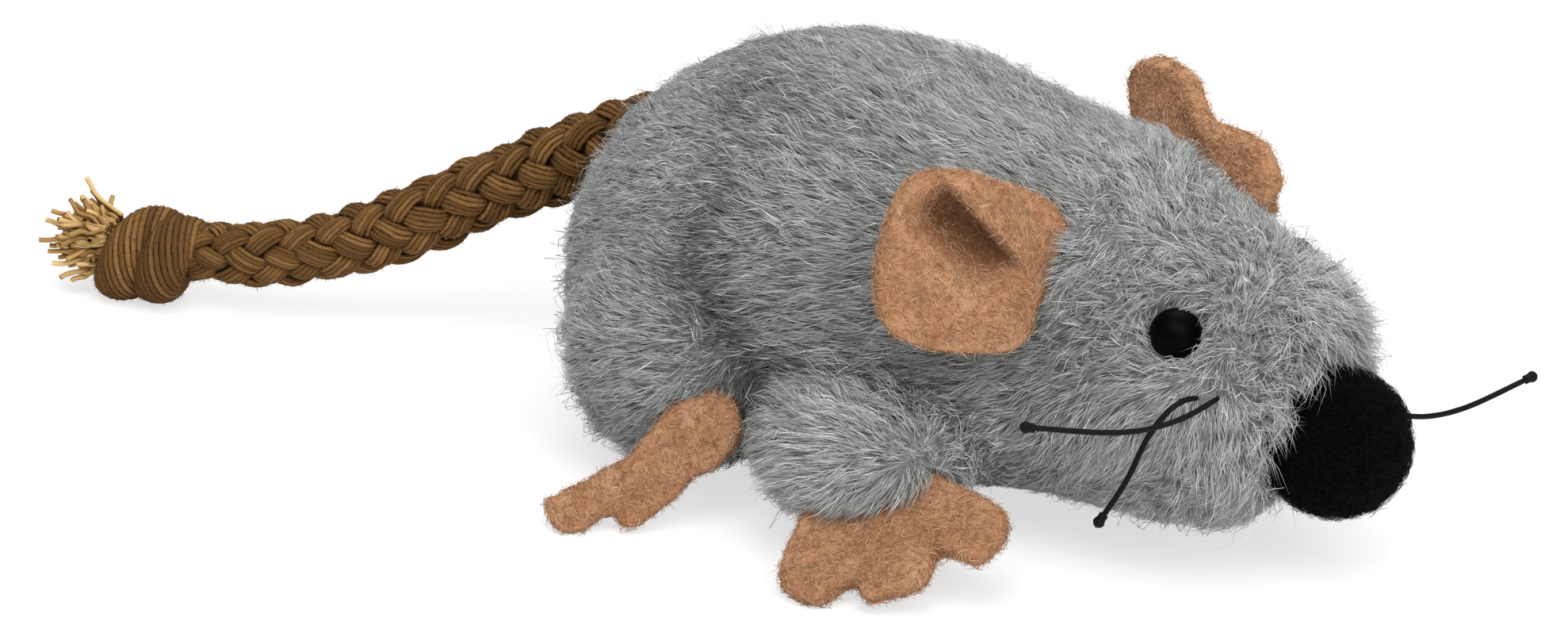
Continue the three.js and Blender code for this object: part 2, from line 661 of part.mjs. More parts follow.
// An ear of the left side, seated on the neck seam
function earPiece(set) {
  const seat = headPoint(set.ahead, EAR_ANGLE);
  const up = new THREE.Vector3(0, 0, 1);
  const out = new THREE.Vector3(-Math.sin(radians(set.sweep)), Math.cos(radians(set.sweep)), 0);
  const front = new THREE.Vector3().crossVectors(out, up);
  const pointAt = (u, v) => {
    const across = u * Math.sqrt(1 - EAR_CORNER * v * v);
    const shoulder = v > 0 ? lerp(EAR_SHOULDER, 1, Math.sin((Math.PI * (across + 1)) / 4)) : 1;
    const height = shoulder * v * Math.sqrt(1 - EAR_CORNER * u * u);
    const reach = lerp(-set.tuck, EAR_LENGTH, (across + 1) / 2);
    return seat.clone()
      .addScaledVector(out, reach)
      .addScaledVector(up, set.raise + (height * EAR_HEIGHT) / 2)
      .addScaledVector(front, earRelief((2 * reach) / EAR_LENGTH - 1, height));
  };
  const neighbours = [bodyForm(GAP, GAP), headForm(GAP, GAP)];
  const sheet = sheetForm(pointAt, EAR_GRID, front.clone().multiplyScalar(EAR_FELT));
  const hinge = { place: seat, axis: up };
  return cutForSwing(sheet, neighbours, hinge, -set.forwards, set.backwards);
}

addPiece('ear_left', earPiece(EAR_SETS.left), FELT, FUZZY);
addPiece('ear_right', mirrored(earPiece(EAR_SETS.right)), FELT, FUZZY);

// Whiskers: threads that start just off the cheek
function whiskerForm(which, side) {
  const place = headPoint(WHISKER_ROOTS[which].at, WHISKER_ROOTS[which].angle);
  const points = WHISKER_STEPS[which].map(([ahead, out, up]) => new THREE.Vector3(
    place.x + ahead,
    side * (place.y + GAP + WHISKER_DIAMETER / 2 + out),
    place.z + up,
  ));
  return cordForm(new THREE.CatmullRomCurve3(points), WHISKER_DIAMETER, THREAD_SIDES, THREAD_STEPS);
}

addPiece('whisker_right_front', whiskerForm('front', -1), BLACK, WAXED);
addPiece('whisker_right_rear', whiskerForm('rear', -1), BLACK, WAXED);
addPiece('whisker_left_front', whiskerForm('farFront', 1), BLACK, WAXED);
addPiece('whisker_left_rear', whiskerForm('rear', 1), BLACK, WAXED);

// Tail: a root sewn in the rump, a base that lifts, and a cord that swings
addPiece('tail_root', tailStretch(gapShare, liftShare - ballShare, 0, false), CORD, CLOTH);
addPiece('tail_base', tailStretch(liftShare, swingShare - ballShare, 0, true), CORD, CLOTH);
addPiece('tail_cord', tailStretch(swingShare, 1, 0, true), CORD, CLOTH);

// Knot and frayed tuft in line with the cord's end
const cordEnd = tailCurve.getPointAt(1);
const endDirection = tailCurve.getTangentAt(1).setZ(0).normalize();
const knotCentre = cordEnd.clone().addScaledVector(endDirection, GAP + KNOT.length / 2);
knotCentre.z = KNOT_LIFT + KNOT.height / 2;
const endTurn = Math.atan2(endDirection.y, endDirection.x);

const knot = new THREE.SphereGeometry(0.5, BALL_SIDES, BALL_ROWS);
knot.rotateX(Math.PI / 2);
knot.scale(KNOT.length, KNOT.width, KNOT.height);
knot.rotateZ(endTurn);
knot.translate(knotCentre.x, knotCentre.y, knotCentre.z);
addPiece('tail_knot', knot, CORD, CLOTH);

const tuftProfile = TUFT_OUTLINE.map(
  ([out, along]) => new THREE.Vector2((out * TUFT_DIAMETER) / 2, along * TUFT_LENGTH),
);
const tuft = new THREE.LatheGeometry(tuftProfile, CORD_SIDES);
tuft.rotateZ(-Math.PI / 2);
tuft.rotateZ(endTurn);
const tuftStart = knotCentre.clone().addScaledVector(endDirection, GAP + KNOT.length / 2);
tuft.translate(tuftStart.x, tuftStart.y, tuftStart.z);
addPiece('tail_tuft', tuft, STRAW, FUZZY);

export default root;
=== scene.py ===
import math

import bpy
import numpy as np
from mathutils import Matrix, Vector, noise
from mathutils.bvhtree import BVHTree
from mathutils.kdtree import KDTree


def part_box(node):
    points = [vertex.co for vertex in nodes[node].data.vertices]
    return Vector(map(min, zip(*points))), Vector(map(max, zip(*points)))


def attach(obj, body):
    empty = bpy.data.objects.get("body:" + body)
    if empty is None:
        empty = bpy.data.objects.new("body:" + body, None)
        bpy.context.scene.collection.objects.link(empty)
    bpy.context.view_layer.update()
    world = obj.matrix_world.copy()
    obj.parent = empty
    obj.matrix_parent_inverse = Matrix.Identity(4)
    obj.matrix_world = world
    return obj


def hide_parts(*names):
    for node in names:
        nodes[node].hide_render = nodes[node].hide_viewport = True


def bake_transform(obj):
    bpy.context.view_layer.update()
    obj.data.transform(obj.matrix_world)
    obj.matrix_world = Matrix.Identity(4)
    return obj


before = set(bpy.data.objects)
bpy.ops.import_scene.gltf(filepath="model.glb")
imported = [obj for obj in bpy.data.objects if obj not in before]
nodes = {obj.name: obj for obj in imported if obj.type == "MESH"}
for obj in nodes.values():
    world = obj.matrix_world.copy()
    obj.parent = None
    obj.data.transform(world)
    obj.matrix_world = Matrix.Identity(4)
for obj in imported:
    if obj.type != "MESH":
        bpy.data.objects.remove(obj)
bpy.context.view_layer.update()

# A catnip mouse of grey faux fur, with felt ears and feet, a felt nose, bead eyes and a braided tail.
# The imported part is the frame: every form below is made from its nodes, and moves with its bodies.

scene = bpy.context.scene
# Both sources of chance start from one seed, so that every run gives the same mouse.
SEED = 7
chance = np.random.default_rng(SEED)
noise.seed_set(SEED)

MM = 0.001

# Camera: where it stands, and where the origin of the part lies in the photo.
IMAGE_SIZE = (1978, 783)
VIEW_TURN = math.radians(34)
VIEW_RISE = math.radians(25)
VIEW_DISTANCE = 0.9
PIXELS_PER_METRE = 13500
ORIGIN_PIXEL = (1246, 595)
SENSOR = 36

# Pile of the faux fur: the pelt it grows from, and its hairs.
PILE = 1.0 * MM
CLOSE_GAPS = 0.5 * MM
PELT_GRAIN = 0.8 * MM
SEAM_ROUNDS = 45
STRAND_LENGTH = 4.6 * MM
STRAND_RADIUS = 0.041 * MM
STRANDS_PER_MM2 = 20
STRANDS_IN_PIECE = 21000
TRIANGLES_IN_PIECE = 190000
ROOT_DEPTH = 0.2 * MM
UPRIGHT = 0.44
LOCK_SIZE = 14
LOCK_TURN = 0.25
LOCK_RISE = 0.13
LOCK_PULL = 0.6
HAIR_TURN = 0.2
HEAD_MESS = 0.7
BODY_MESS = 0.42
STRAY_SHARE = 0.06
STRAY_LENGTH = 1.3
STRAY_HEIGHT = 1.35
BELLY_LENGTH = 0.6
NEAR_TAIL = 8 * MM
NEAR_TAIL_LENGTH = 0.5
MUZZLE_END = (32 * MM, 36 * MM)
FLUFF_PLACES = np.array([-45, -18, -5, 12, 20, 30, 35]) * MM
FLUFF = np.array([0.1, 0.15, 0.9, 0.6, 0.35, 0.3, 1.9]) * MM
UNDERSIDE_FLUFF = 0.1

# Tones of the hairs, from 0 for the darkest to 1 for white; the white hairs are painted glints, and the
# dark hairs in folds painted shade.
TONE_RANGE = (0.15, 0.96)
LOCK_TONE = 0.4
HEAD_TONE = -0.04
ARM_TONE = 0.08
PAINTED_GLINT_SHARE = 0.04
FOLD_PAINTED_SHADE_TONE = 0.2

# Nose and eyes: how far the pile stays clear of each, how far it is sunk, and the share of hairs over it.
NOSE_RECESS = 1.2 * MM
NOSE_CLEAR = 5 * MM
EYE_SIZE = 1.02
EYE_SINK = 0.8 * MM
HAIR_OVER_BALL = 0.12 * MM
BALLS = [
    ("nose_ball", 0.7 * MM, 0, 0.3),
    ("eye_left", -0.5 * MM, EYE_SINK, 0.9),
    ("eye_right", -0.5 * MM, 0, 0.3),
]

FUR_NODES = [
    "body_skin_left", "body_skin_right", "belly_panel", "head_skin_left", "head_skin_right",
    "thigh_left", "thigh_right", "arm_left", "arm_right",
]
INNER_NODES = ["body_filling", "head_filling", "catnip_sachet"]

# The deep fold before the haunch of the right side, from the back down, in mm; the left side mirrors it.
FOLD_LINE = [
    (-20.8, -13.2, 33.7), (-19.4, -16.3, 30.1), (-19.1, -18.3, 26.1), (-19.4, -19.4, 22.4),
    (-16.1, -21.1, 19.1), (-14.1, -20.8, 17.1), (-13.4, -21.2, 13.4), (-14.2, -21.4, 9.3),
]
# Near the fold the hairs lie flatter and some turn dark, which is painted shade; ahead of it the pile is
# darker over a wider reach, painted shade as well.
FOLD_WIDTH = 2.6 * MM
FOLD_SHADE = 11 * MM
FOLD_PAINTED_SHADE = 0.9

# Felt pieces. An ear is measured outwards and upwards from its seat on the head, and a foot to the front
# and up its own slope from the middle of its CAD node, all in mm.
FELT_THICK = 2.2 * MM
FELT_ROUNDING = 0.55 * MM
FELT_GRAIN = 0.32 * MM
FELT_FIBRES_PER_MM2 = 14
FELT_FIBRE = 1.0 * MM
NOSE_FIBRE = 1.5 * MM
FIBRE_RADII = (0.018, 0.036)
FOOT_SINK = 1.0 * MM
GROOVE_DEPTH = 0.6 * MM
GROOVE_WIDTH = 0.8 * MM
EAR_CURL = 6 * MM
EAR_REACH = 15.4 * MM
EAR_SEAM = 3 * MM
PLEAT_START = (1.7 * MM, 0.6 * MM)
PLEAT_RUN = (0.652, 0.757)
PLEAT_DEPTH = 4.2 * MM
PLEAT_RIDGE = 1.5 * MM
EARS = {
    "ear_left": {"seat": (21.7, 11.2, 29.65), "sweep": 78, "side": 1, "lean": 0.6},
    "ear_right": {"seat": (14.4, -13.6, 29.69), "sweep": 48, "side": -1, "lean": 0},
}
NEAR_EAR_OUTLINE = [
    (10.5, 9.5), (6.8, 9.4), (3.4, 7.9), (0.8, 6.1), (-2.6, 3.3), (-1.8, 0), (0.4, -3.3),
    (2.1, -5.8), (7.4, -6.3), (12, -5.7), (14.7, -3.8), (15.3, 0.5), (13.8, 5.9), (12.4, 8.4),
]
FAR_EAR_OUTLINE = [
    (11.2, 10.3), (8.2, 9.9), (6.8, 9.2), (6, 8), (4.7, 6.6), (3.4, 6.4), (2, 6.1), (0.6, 5.6), (-0.6, 5),
    (-1.4, 3.7), (-2, 1.9), (-1.8, 0.5), (0.5, -3.2), (5, -4.2), (9, -3.2), (10.8, -1.3), (13.2, 0.2),
    (14.8, 2.2), (15.4, 3.8), (15.8, 6.7), (14.9, 8.5), (13, 9.8),
]
REAR_FOOT_OUTLINE = [
    (3.6, 6.7), (5, 7.3), (6.3, 6.8), (7.1, 5.4), (7.6, 3.8), (7, 2.1), (6.1, 0.9), (5.3, 0), (4.2, -0.5),
    (3.3, -0.9), (2.5, -1.8), (1.4, -3.1), (0, -4.2), (-1.6, -5.5), (-2.6, -5.9), (-3.4, -5.6),
    (-4.2, -4.9), (-5.5, -5.3), (-7, -6.5), (-9, -6.5), (-9.9, -5.5), (-10.4, -4.2), (-10.2, -3.7),
    (-7.4, -2.1), (-4.7, -0.5), (-2.8, 0.6), (-1.3, 2.5), (0.8, 5.1), (2.5, 6.3),
]
FRONT_PAW_OUTLINE = [
    (-4.9, 6.1), (-1, 7.9), (0.9, 7.4), (4.9, 6.9), (8, 5.9), (8.9, 3.9), (8.7, 2.3), (8, 0.8), (7.1, 0.4),
    (6.2, 0.5), (4.6, 0.5), (3.5, 0.3), (3.7, -0.6), (4, -2), (3.5, -3.4), (2.1, -4.4), (0.7, -5.2),
    (-0.4, -5.9), (-1.2, -5.7), (-2, -5), (-2.8, -4.7), (-3.4, -5), (-4.2, -6.8), (-4.9, -7.6), (-6.3, -8),
    (-8.1, -7.6), (-9.6, -6.7), (-10.3, -5), (-10.5, -2), (-10.6, 0), (-9.8, 2.3), (-7.7, 4.6),
]
REAR_GROOVES = [((-4, -5), (-2.6, -1.4))]
PAW_GROOVES = [((-2.9, -4.8), (-2.2, -0.4)), ((3.4, 0.3), (0.8, 2.6))]
REAR_FOOT_SHIFT = (0.7, 0.4, 0)
FRONT_PAW_SHIFT = (-0.3, 0.8, 0)
FEET = {
    "rear_foot": (REAR_FOOT_OUTLINE, REAR_GROOVES, REAR_FOOT_SHIFT),
    "front_paw": (FRONT_PAW_OUTLINE, PAW_GROOVES, FRONT_PAW_SHIFT),
}

# Middle line of the tail, from inside the rump to the knot, in mm.
TAIL_LINE = [
    (-37.5, 0.45, 25.5), (-39.9, 0.3, 24.4), (-44.9, 0, 21.8), (-50.3, -0.9, 18.6), (-56.8, -3, 15.2),
    (-63, -5.5, 11.5), (-69.2, -8, 8.7), (-75.5, -10.3, 7.0), (-81.1, -11.6, 6.2), (-85.6, -12.3, 5.6),
]
TAIL_DIAMETER = 7 * MM
TAIL_EXIT = (-44.2, 0.1, 22.2)
TAIL_PLACES = [0, 0.25, 0.55, 0.85, 1]
TAIL_SCALE = [1.08, 1.1, 1.0, 0.86, 0.8]
BRAID_RADIUS = 3.35 * MM
BRAID_COLUMNS = 8
STITCH_PITCH = 4.1 * MM
STITCH_LENGTH = 5.8 * MM
STITCH_TILT = math.radians(36)
STITCH_ARCH = 0.44
STITCH_YARNS = 6
YARN_SPACING = 0.42 * MM
YARN_RADIUS = 0.26 * MM
CORE_RADIUS = 2.5 * MM
YARN_SIDES = 6
CORD_FIBRES_PER_MM2 = 7
CORD_FIBRE = 0.7 * MM
CORD_FIBRE_STEPS = 2
KNOT_SHIFT = (1.8, 0.3, -0.4)
KNOT_TURNS = 1.75
KNOT_RUN = 7.2 * MM
KNOT_REACH = 2.5 * MM
KNOT_LEAN = 0.9 * MM
BAND_WIDE = 2.6 * MM
BAND_DEEP = 1.9 * MM
BAND_YARNS = 26
BAND_TWIST = 1.3
TUFT_YARNS = 300
TUFT_STEPS = 14
TUFT_LENGTHS = (2.4, 5.4)
TUFT_CURLS = (0.3, 2)
TUFT_RIPPLE = 0.22 * MM
TUFT_RADIUS = 0.25 * MM

# Light: the name, place, size and power of each lamp; all of them aim at one point.
LAMPS = [
    ("key", (0.18, -0.36, 0.84), 0.6, 6.2),
    ("fill", (0.6, -0.25, 0.55), 0.5, 4.0),
    ("back", (-0.25, 0.55, 0.65), 0.6, 3.2),
]
LAMP_AIM = (-0.02, 0, 0.02)
SKY_LIGHT = 0.5
FLOOR_GLOW = 0.68
FLOOR_SIZE = 6


# Camera.

def view_axes():
    """The right, up and towards-the-viewer directions of the photo's camera."""
    right = Vector((math.cos(VIEW_TURN), math.sin(VIEW_TURN), 0))
    towards = Vector((
        math.sin(VIEW_TURN) * math.cos(VIEW_RISE),
        -math.cos(VIEW_TURN) * math.cos(VIEW_RISE),
        math.sin(VIEW_RISE),
    ))
    return right, towards.cross(right), towards


def add_camera():
    right, up, towards = view_axes()
    across = (IMAGE_SIZE[0] / 2 - ORIGIN_PIXEL[0]) / PIXELS_PER_METRE
    along = (ORIGIN_PIXEL[1] - IMAGE_SIZE[1] / 2) / PIXELS_PER_METRE
    middle = right * across + up * along
    data = bpy.data.cameras.new("camera")
    data.sensor_width = SENSOR
    data.lens = SENSOR * VIEW_DISTANCE * PIXELS_PER_METRE / IMAGE_SIZE[0]
    data.clip_start = 0.01
    camera = new_object("camera", data)
    camera.location = middle + towards * VIEW_DISTANCE
    camera.rotation_euler = towards.to_track_quat("Z", "Y").to_euler()
    scene.camera = camera


# Meshes.

WELD = ("WELD", {"merge_threshold": 0.01 * MM})


def remeshed(grain, rounds):
    """Two modifiers: a mesh of even grain, smoothed that many times."""
    return [
        ("REMESH", {"mode": "VOXEL", "voxel_size": grain}),
        ("SMOOTH", {"factor": 0.5, "iterations": rounds}),
    ]


def swollen(distance):
    return ("DISPLACE", {"strength": distance, "mid_level": 0})


def new_object(name, data):
    piece = bpy.data.objects.new(name, data)
    scene.collection.objects.link(piece)
    return piece


def box_of(node):
    """The lowest and the highest corner of a CAD node."""
    low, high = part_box(node)
    return np.array(low), np.array(high)


def set_points(mesh, points):
    mesh.vertices.foreach_set("co", points.astype(np.float32).ravel())


def lifted(points, height):
    """Points, none of them lower than that height over the floor."""
    points[..., 2] = np.maximum(points[..., 2], height)
    return points


def add_mesh(name, points, faces, material, uvs=None):
    """A smooth mesh from an array of points and an array of faces; uvs is one pair for each point."""
    mesh = bpy.data.meshes.new(name)
    corners = faces.shape[1]
    mesh.vertices.add(len(points))
    set_points(mesh, points)
    mesh.loops.add(faces.size)
    mesh.loops.foreach_set("vertex_index", faces.astype(np.int32).ravel())
    mesh.polygons.add(len(faces))
    mesh.polygons.foreach_set("loop_start", np.arange(0, faces.size, corners, dtype=np.int32))
    mesh.polygons.foreach_set("use_smooth", np.ones(len(faces), dtype=bool))
    if uvs is not None:
        corner_uvs = uvs[faces.ravel()].astype(np.float32).ravel()
        for layer in ("Strand", "OFBake"):
            mesh.uv_layers.new(name=layer).uv.foreach_set("vector", corner_uvs)
    mesh.update(calc_edges=True)
    mesh.validate()
    mesh.materials.append(material)
    return new_object(name, mesh)


def read_array(source, key, kind):
    values = np.empty(len(source) * 3, dtype=kind)
    source.foreach_get(key, values)
    return values.reshape(-1, 3)


def arrays_of(mesh):
    """Points, triangles and point normals of a mesh."""
    mesh.calc_loop_triangles()
    points = read_array(mesh.vertices, "co", np.float32).astype(float)
    normals = read_array(mesh.vertex_normals, "vector", np.float32).astype(float)
    return points, read_array(mesh.loop_triangles, "vertices", np.int32), normals


def joined_nodes(names):
    """Points and triangles of several CAD nodes together."""
    points = []
    faces = []
    start = 0
    for name in names:
        part_points, part_faces, _ = arrays_of(nodes[name].data)
        points.append(part_points)
        faces.append(part_faces + start)
        start += len(part_points)
    return np.concatenate(points), np.concatenate(faces)


def shown(source):
    """A new mesh of how an object looks with its modifiers; the object itself goes."""
    graph = bpy.context.evaluated_depsgraph_get()
    mesh = bpy.data.meshes.new_from_object(source.evaluated_get(graph))
    bpy.data.objects.remove(source)
    return mesh


def add_modifiers(piece, steps):
    for kind, settings in steps:
        modifier = piece.modifiers.new(kind, kind)
        for key, value in settings.items():
            setattr(modifier, key, value)


def modified(points, faces, steps):
    """A new mesh: points and faces put through a list of modifiers."""
    mesh = bpy.data.meshes.new("raw")
    mesh.from_pydata(points.tolist(), [], faces.tolist())
    piece = new_object("raw", mesh)
    add_modifiers(piece, steps)
    return shown(piece)


def dress(mesh, material):
    mesh.materials.clear()
    mesh.materials.append(material)


def add_smooth(name, mesh, material):
    """An object of that mesh, shaded smooth."""
    mesh.polygons.foreach_set("use_smooth", np.ones(len(mesh.polygons), dtype=bool))
    dress(mesh, material)
    return new_object(name, mesh)


def unit(vectors):
    lengths = np.linalg.norm(vectors, axis=-1, keepdims=True)
    return vectors / np.maximum(lengths, 1e-12)


def flattened(vectors, normals):
    """The share of each vector that lies along the surface."""
    return vectors - normals * np.sum(vectors * normals, axis=1, keepdims=True)


def noise_at(points, scale):
    """A smooth random vector at each point; scale is the size of its waves."""
    return np.array([noise.noise_vector(Vector(p / scale)) for p in points])


def triangle_areas(points, triangles):
    corners = points[triangles]
    first = corners[:, 1] - corners[:, 0]
    second = corners[:, 2] - corners[:, 0]
    return np.linalg.norm(np.cross(first, second), axis=1) / 2


def scattered(points, triangles, per_mm2):
    """Random places on a mesh, so many to each mm2: the three points round each, and their weights."""
    areas = triangle_areas(points, triangles)
    count = int(areas.sum() / MM ** 2 * per_mm2)
    chosen = chance.choice(len(triangles), size=count, p=areas / areas.sum())
    first = np.sqrt(chance.random(count))
    second = chance.random(count)
    weights = np.stack([1 - first, first * (1 - second), first * second], axis=1)
    return triangles[chosen], weights


def between(values, corners, weights):
    """Point values of a mesh, taken at scattered places."""
    return np.einsum("nk,nkd->nd", weights, values[corners])


def rings_round(lines, side, other, radii, sides):
    """Points in rings round the points of some lines; side and other are directions across them."""
    angles = (2 * math.pi * np.arange(sides) / sides)[:, None]
    away = np.cos(angles) * side[:, :, None] + np.sin(angles) * other[:, :, None]
    return lines[:, :, None] + away * radii[..., None, None]


def add_strands(name, paths, radii, tones, material):
    """Thin tapered hairs of three sides each, along paths of several points, which end in a point."""
    count, rings = paths.shape[0], paths.shape[1] - 1
    ahead = unit(np.gradient(paths, axis=1))[:, :-1]
    side = unit(np.cross(ahead, unit(chance.normal(size=(count, 1, 3)))))
    other = np.cross(ahead, side)
    taper = np.linspace(1, 0.75, rings)
    around = rings_round(paths[:, :-1], side, other, radii[:, None] * taper, 3).reshape(count, -1, 3)
    points = np.concatenate([around, paths[:, -1:]], axis=1).reshape(-1, 3)
    pattern = []
    for corner in range(3 * rings):
        beside = corner - 2 if corner % 3 == 2 else corner + 1
        if corner < 3 * rings - 3:
            pattern += [(corner, beside, beside + 3), (corner, beside + 3, corner + 3)]
        else:
            pattern.append((corner, beside, 3 * rings))
    per_strand = rings * 3 + 1
    faces = (np.arange(count)[:, None, None] * per_strand + np.array(pattern)).reshape(-1, 3)
    along = np.append(np.repeat(np.linspace(0.01, 0.99, rings + 1)[:-1], 3), 0.99)
    uvs = np.stack([np.repeat(tones, per_strand), np.tile(along, count)], axis=1)
    return add_mesh(name, points, faces, material, uvs)


# Materials.

def new_material(name, roughness, specular):
    material = bpy.data.materials.new(name)
    material.use_nodes = True
    tree = material.node_tree
    shader = tree.nodes["Principled BSDF"]
    shader.inputs["Roughness"].default_value = roughness
    shader.inputs["Specular IOR Level"].default_value = specular
    return material, tree, shader


def new_node(tree, kind, **values):
    """A shader node of that kind, with values for some of its inputs."""
    node = tree.nodes.new("ShaderNode" + kind)
    for name, value in values.items():
        node.inputs[name].default_value = value
    return node


def srgb(red, green, blue):
    """A colour as an eye-dropper reads it, from 0 to 255, in linear light."""
    linear = []
    for value in (red, green, blue):
        share = value / 255
        linear.append(share / 12.92 if share <= 0.04045 else ((share + 0.055) / 1.055) ** 2.4)
    return (*linear, 1)


def ramp(tree, source, stops):
    """Colours for the values of a source, by stops of a value and a colour each."""
    node = new_node(tree, "ValToRGB")
    while len(node.color_ramp.elements) < len(stops):
        node.color_ramp.elements.new(0.5)
    for element, (position, colour) in zip(node.color_ramp.elements, stops):
        element.position = position
        element.color = colour
    tree.links.new(source, node.inputs["Fac"])
    return node.outputs["Color"]


def multiplied(tree, first, second):
    node = new_node(tree, "Mix")
    node.data_type = "RGBA"
    node.blend_type = "MULTIPLY"
    node.inputs["Factor"].default_value = 1
    tree.links.new(first, node.inputs["A"])
    tree.links.new(second, node.inputs["B"])
    return node.outputs["Result"]


def noise_node(tree, scale, detail=4, roughness=0.6):
    place = new_node(tree, "TexCoord")
    node = new_node(tree, "TexNoise", Scale=scale, Detail=detail, Roughness=roughness)
    tree.links.new(place.outputs["Object"], node.inputs["Vector"])
    return node.outputs["Fac"]


def bumped(tree, shader, height, strength, distance):
    node = new_node(tree, "Bump", Strength=strength, Distance=distance)
    tree.links.new(height, node.inputs["Height"])
    tree.links.new(node.outputs["Normal"], shader.inputs["Normal"])


def painted_hollow_shade(tree, reach, dark):
    """Painted shade: white on open ground, and the given dark colour down in hollows of that reach, by
    ambient occlusion.
    """
    node = new_node(tree, "AmbientOcclusion", Distance=reach)
    node.only_local = True
    node.samples = 8
    return ramp(tree, node.outputs["AO"], [(0.35, dark), (0.95, WHITE)])


def strand_material(name, tones, lengthwise, roughness, specular, painted_crevice_shade=None):
    """Hairs: tones across the many, shades from root to tip, and painted shade in the gaps between thick
    ones.
    """
    material, tree, shader = new_material(name, roughness, specular)
    place = new_node(tree, "UVMap")
    place.uv_map = "Strand"
    split = new_node(tree, "SeparateXYZ")
    tree.links.new(place.outputs["UV"], split.inputs["Vector"])
    tone = ramp(tree, split.outputs["X"], tones)
    colour = multiplied(tree, tone, ramp(tree, split.outputs["Y"], lengthwise))
    if painted_crevice_shade:
        colour = multiplied(tree, colour, painted_hollow_shade(tree, YARN_HOLLOW, painted_crevice_shade))
    tree.links.new(colour, shader.inputs["Base Color"])
    return material


def felt_material(name, dark, middle, light):
    """Pressed wool: blotches, fine fibres and a soft nap, with painted shade in its hollows."""
    material, tree, shader = new_material(name, 0.95, 0.05)
    blotches = noise_node(tree, 260, 6, 0.7)
    colour = ramp(tree, blotches, [(0.3, dark), (0.5, middle), (0.72, light)])
    colour = multiplied(tree, colour, painted_hollow_shade(tree, FELT_HOLLOW, FELT_PAINTED_SHADE))
    tree.links.new(colour, shader.inputs["Base Color"])
    bumped(tree, shader, noise_node(tree, 1500, 8, 0.75), 0.9, 0.0004)
    return material


def plain_material(name, colour, roughness, specular, grain=None):
    """One colour, or with grain a fine pattern of it and a lighter one."""
    material, tree, shader = new_material(name, roughness, specular)
    if grain:
        lighter = tuple(min(1, 1.5 * c) for c in colour[:3]) + (1,)
        grained = ramp(tree, noise_node(tree, grain), [(0.35, colour), (0.7, lighter)])
        tree.links.new(grained, shader.inputs["Base Color"])
        bumped(tree, shader, noise_node(tree, grain), 0.4, 0.0002)
    else:
        shader.inputs["Base Color"].default_value = colour
    return material


WHITE = (1, 1, 1, 1)
# How far the painted shade in hollows of yarn and felt reaches, and its darkest colours.
YARN_HOLLOW = 1.2 * MM
FELT_HOLLOW = 5 * MM
FELT_PAINTED_SHADE = (0.34, 0.22, 0.13, 1)
BROWN_PAINTED_SHADE = (0.3, 0.25, 0.2, 1)
STRAW_PAINTED_SHADE = (0.58, 0.48, 0.36, 1)
# Tones of the pile: the darkest, for hairs in folds, are painted shade, and the white at the top is painted
# glints.
GREY_TONES = [
    (0.0, srgb(62, 62, 58)), (0.2, srgb(128, 129, 127)), (0.35, srgb(170, 172, 171)),
    (0.75, srgb(206, 208, 208)), (0.96, srgb(226, 228, 228)), (0.985, srgb(255, 255, 255)),
]
TAN_TONES = [(0.0, srgb(140, 94, 60)), (0.6, srgb(184, 139, 104)), (1.0, srgb(218, 184, 152))]
BLACK_TONES = [(0.0, srgb(1, 1, 1)), (1.0, srgb(9, 9, 9))]
BROWN_TONES = [(0.0, srgb(78, 54, 27)), (0.5, srgb(108, 77, 43)), (1.0, srgb(132, 97, 58))]
STRAW_TONES = [(0.0, srgb(140, 106, 58)), (0.5, srgb(176, 142, 88)), (1.0, srgb(208, 176, 122))]
ROOT_TO_TIP = [(0.0, (0.34, 0.34, 0.33, 1)), (0.5, (0.78, 0.78, 0.77, 1)), (1.0, WHITE)]
EVEN = [(0.0, (0.85, 0.85, 0.85, 1)), (1.0, WHITE)]

fur = strand_material("grey_pile", GREY_TONES, ROOT_TO_TIP, 0.5, 0.35)
backing = plain_material("pile_backing", srgb(105, 107, 106), 0.95, 0.1, 900)
tan_felt = felt_material("tan_felt", srgb(152, 106, 72), srgb(177, 131, 97), srgb(198, 156, 122))
black_felt = felt_material("black_felt", srgb(1, 1, 1), srgb(2, 2, 2), srgb(4, 4, 4))
tan_fibre = strand_material("tan_fibre", TAN_TONES, EVEN, 0.8, 0.2)
black_fibre = strand_material("black_fibre", BLACK_TONES, EVEN, 0.8, 0.1)
eye_black = plain_material("eye_black", srgb(1, 1, 1), 0.45, 0.03)
whisker_black = plain_material("whisker_black", srgb(3, 3, 3), 0.6, 0.12, 2500)
tail_yarn = strand_material("tail_yarn", BROWN_TONES, EVEN, 0.9, 0.08, BROWN_PAINTED_SHADE)
tail_fibre = strand_material("tail_fibre", BROWN_TONES, EVEN, 0.9, 0.1)
straw_yarn = strand_material("straw_yarn", STRAW_TONES, EVEN, 0.75, 0.2, STRAW_PAINTED_SHADE)


# Pelt: the cloth that the pile grows from, made from the fur nodes by sinking their joint skin.

def make_pelt():
    """The pelt, and the number of the fur node that each of its points belongs to."""
    steps = [
        WELD, swollen(CLOSE_GAPS), *remeshed(PELT_GRAIN, 8),
        swollen(-PILE - CLOSE_GAPS), *remeshed(PELT_GRAIN, 4),
    ]
    mesh = modified(*joined_nodes(FUR_NODES + INNER_NODES), steps)
    points, triangles, normals = arrays_of(mesh)
    owners = nearest_nodes(points + normals * PILE, FUR_NODES)
    _, seam = creases(points, owners, triangles)
    points = points + seam * (smoothed(points, triangles, SEAM_ROUNDS) - points)
    low, high = box_of("nose_ball")
    away = np.linalg.norm(points - (low + high) / 2, axis=1) - (high - low).max() / 2
    points = points - normals * (NOSE_RECESS * np.clip(1 - away / NOSE_CLEAR, 0, 1))[:, None]
    set_points(mesh, points)
    mesh.update()
    return add_smooth("pelt", mesh, backing), owners


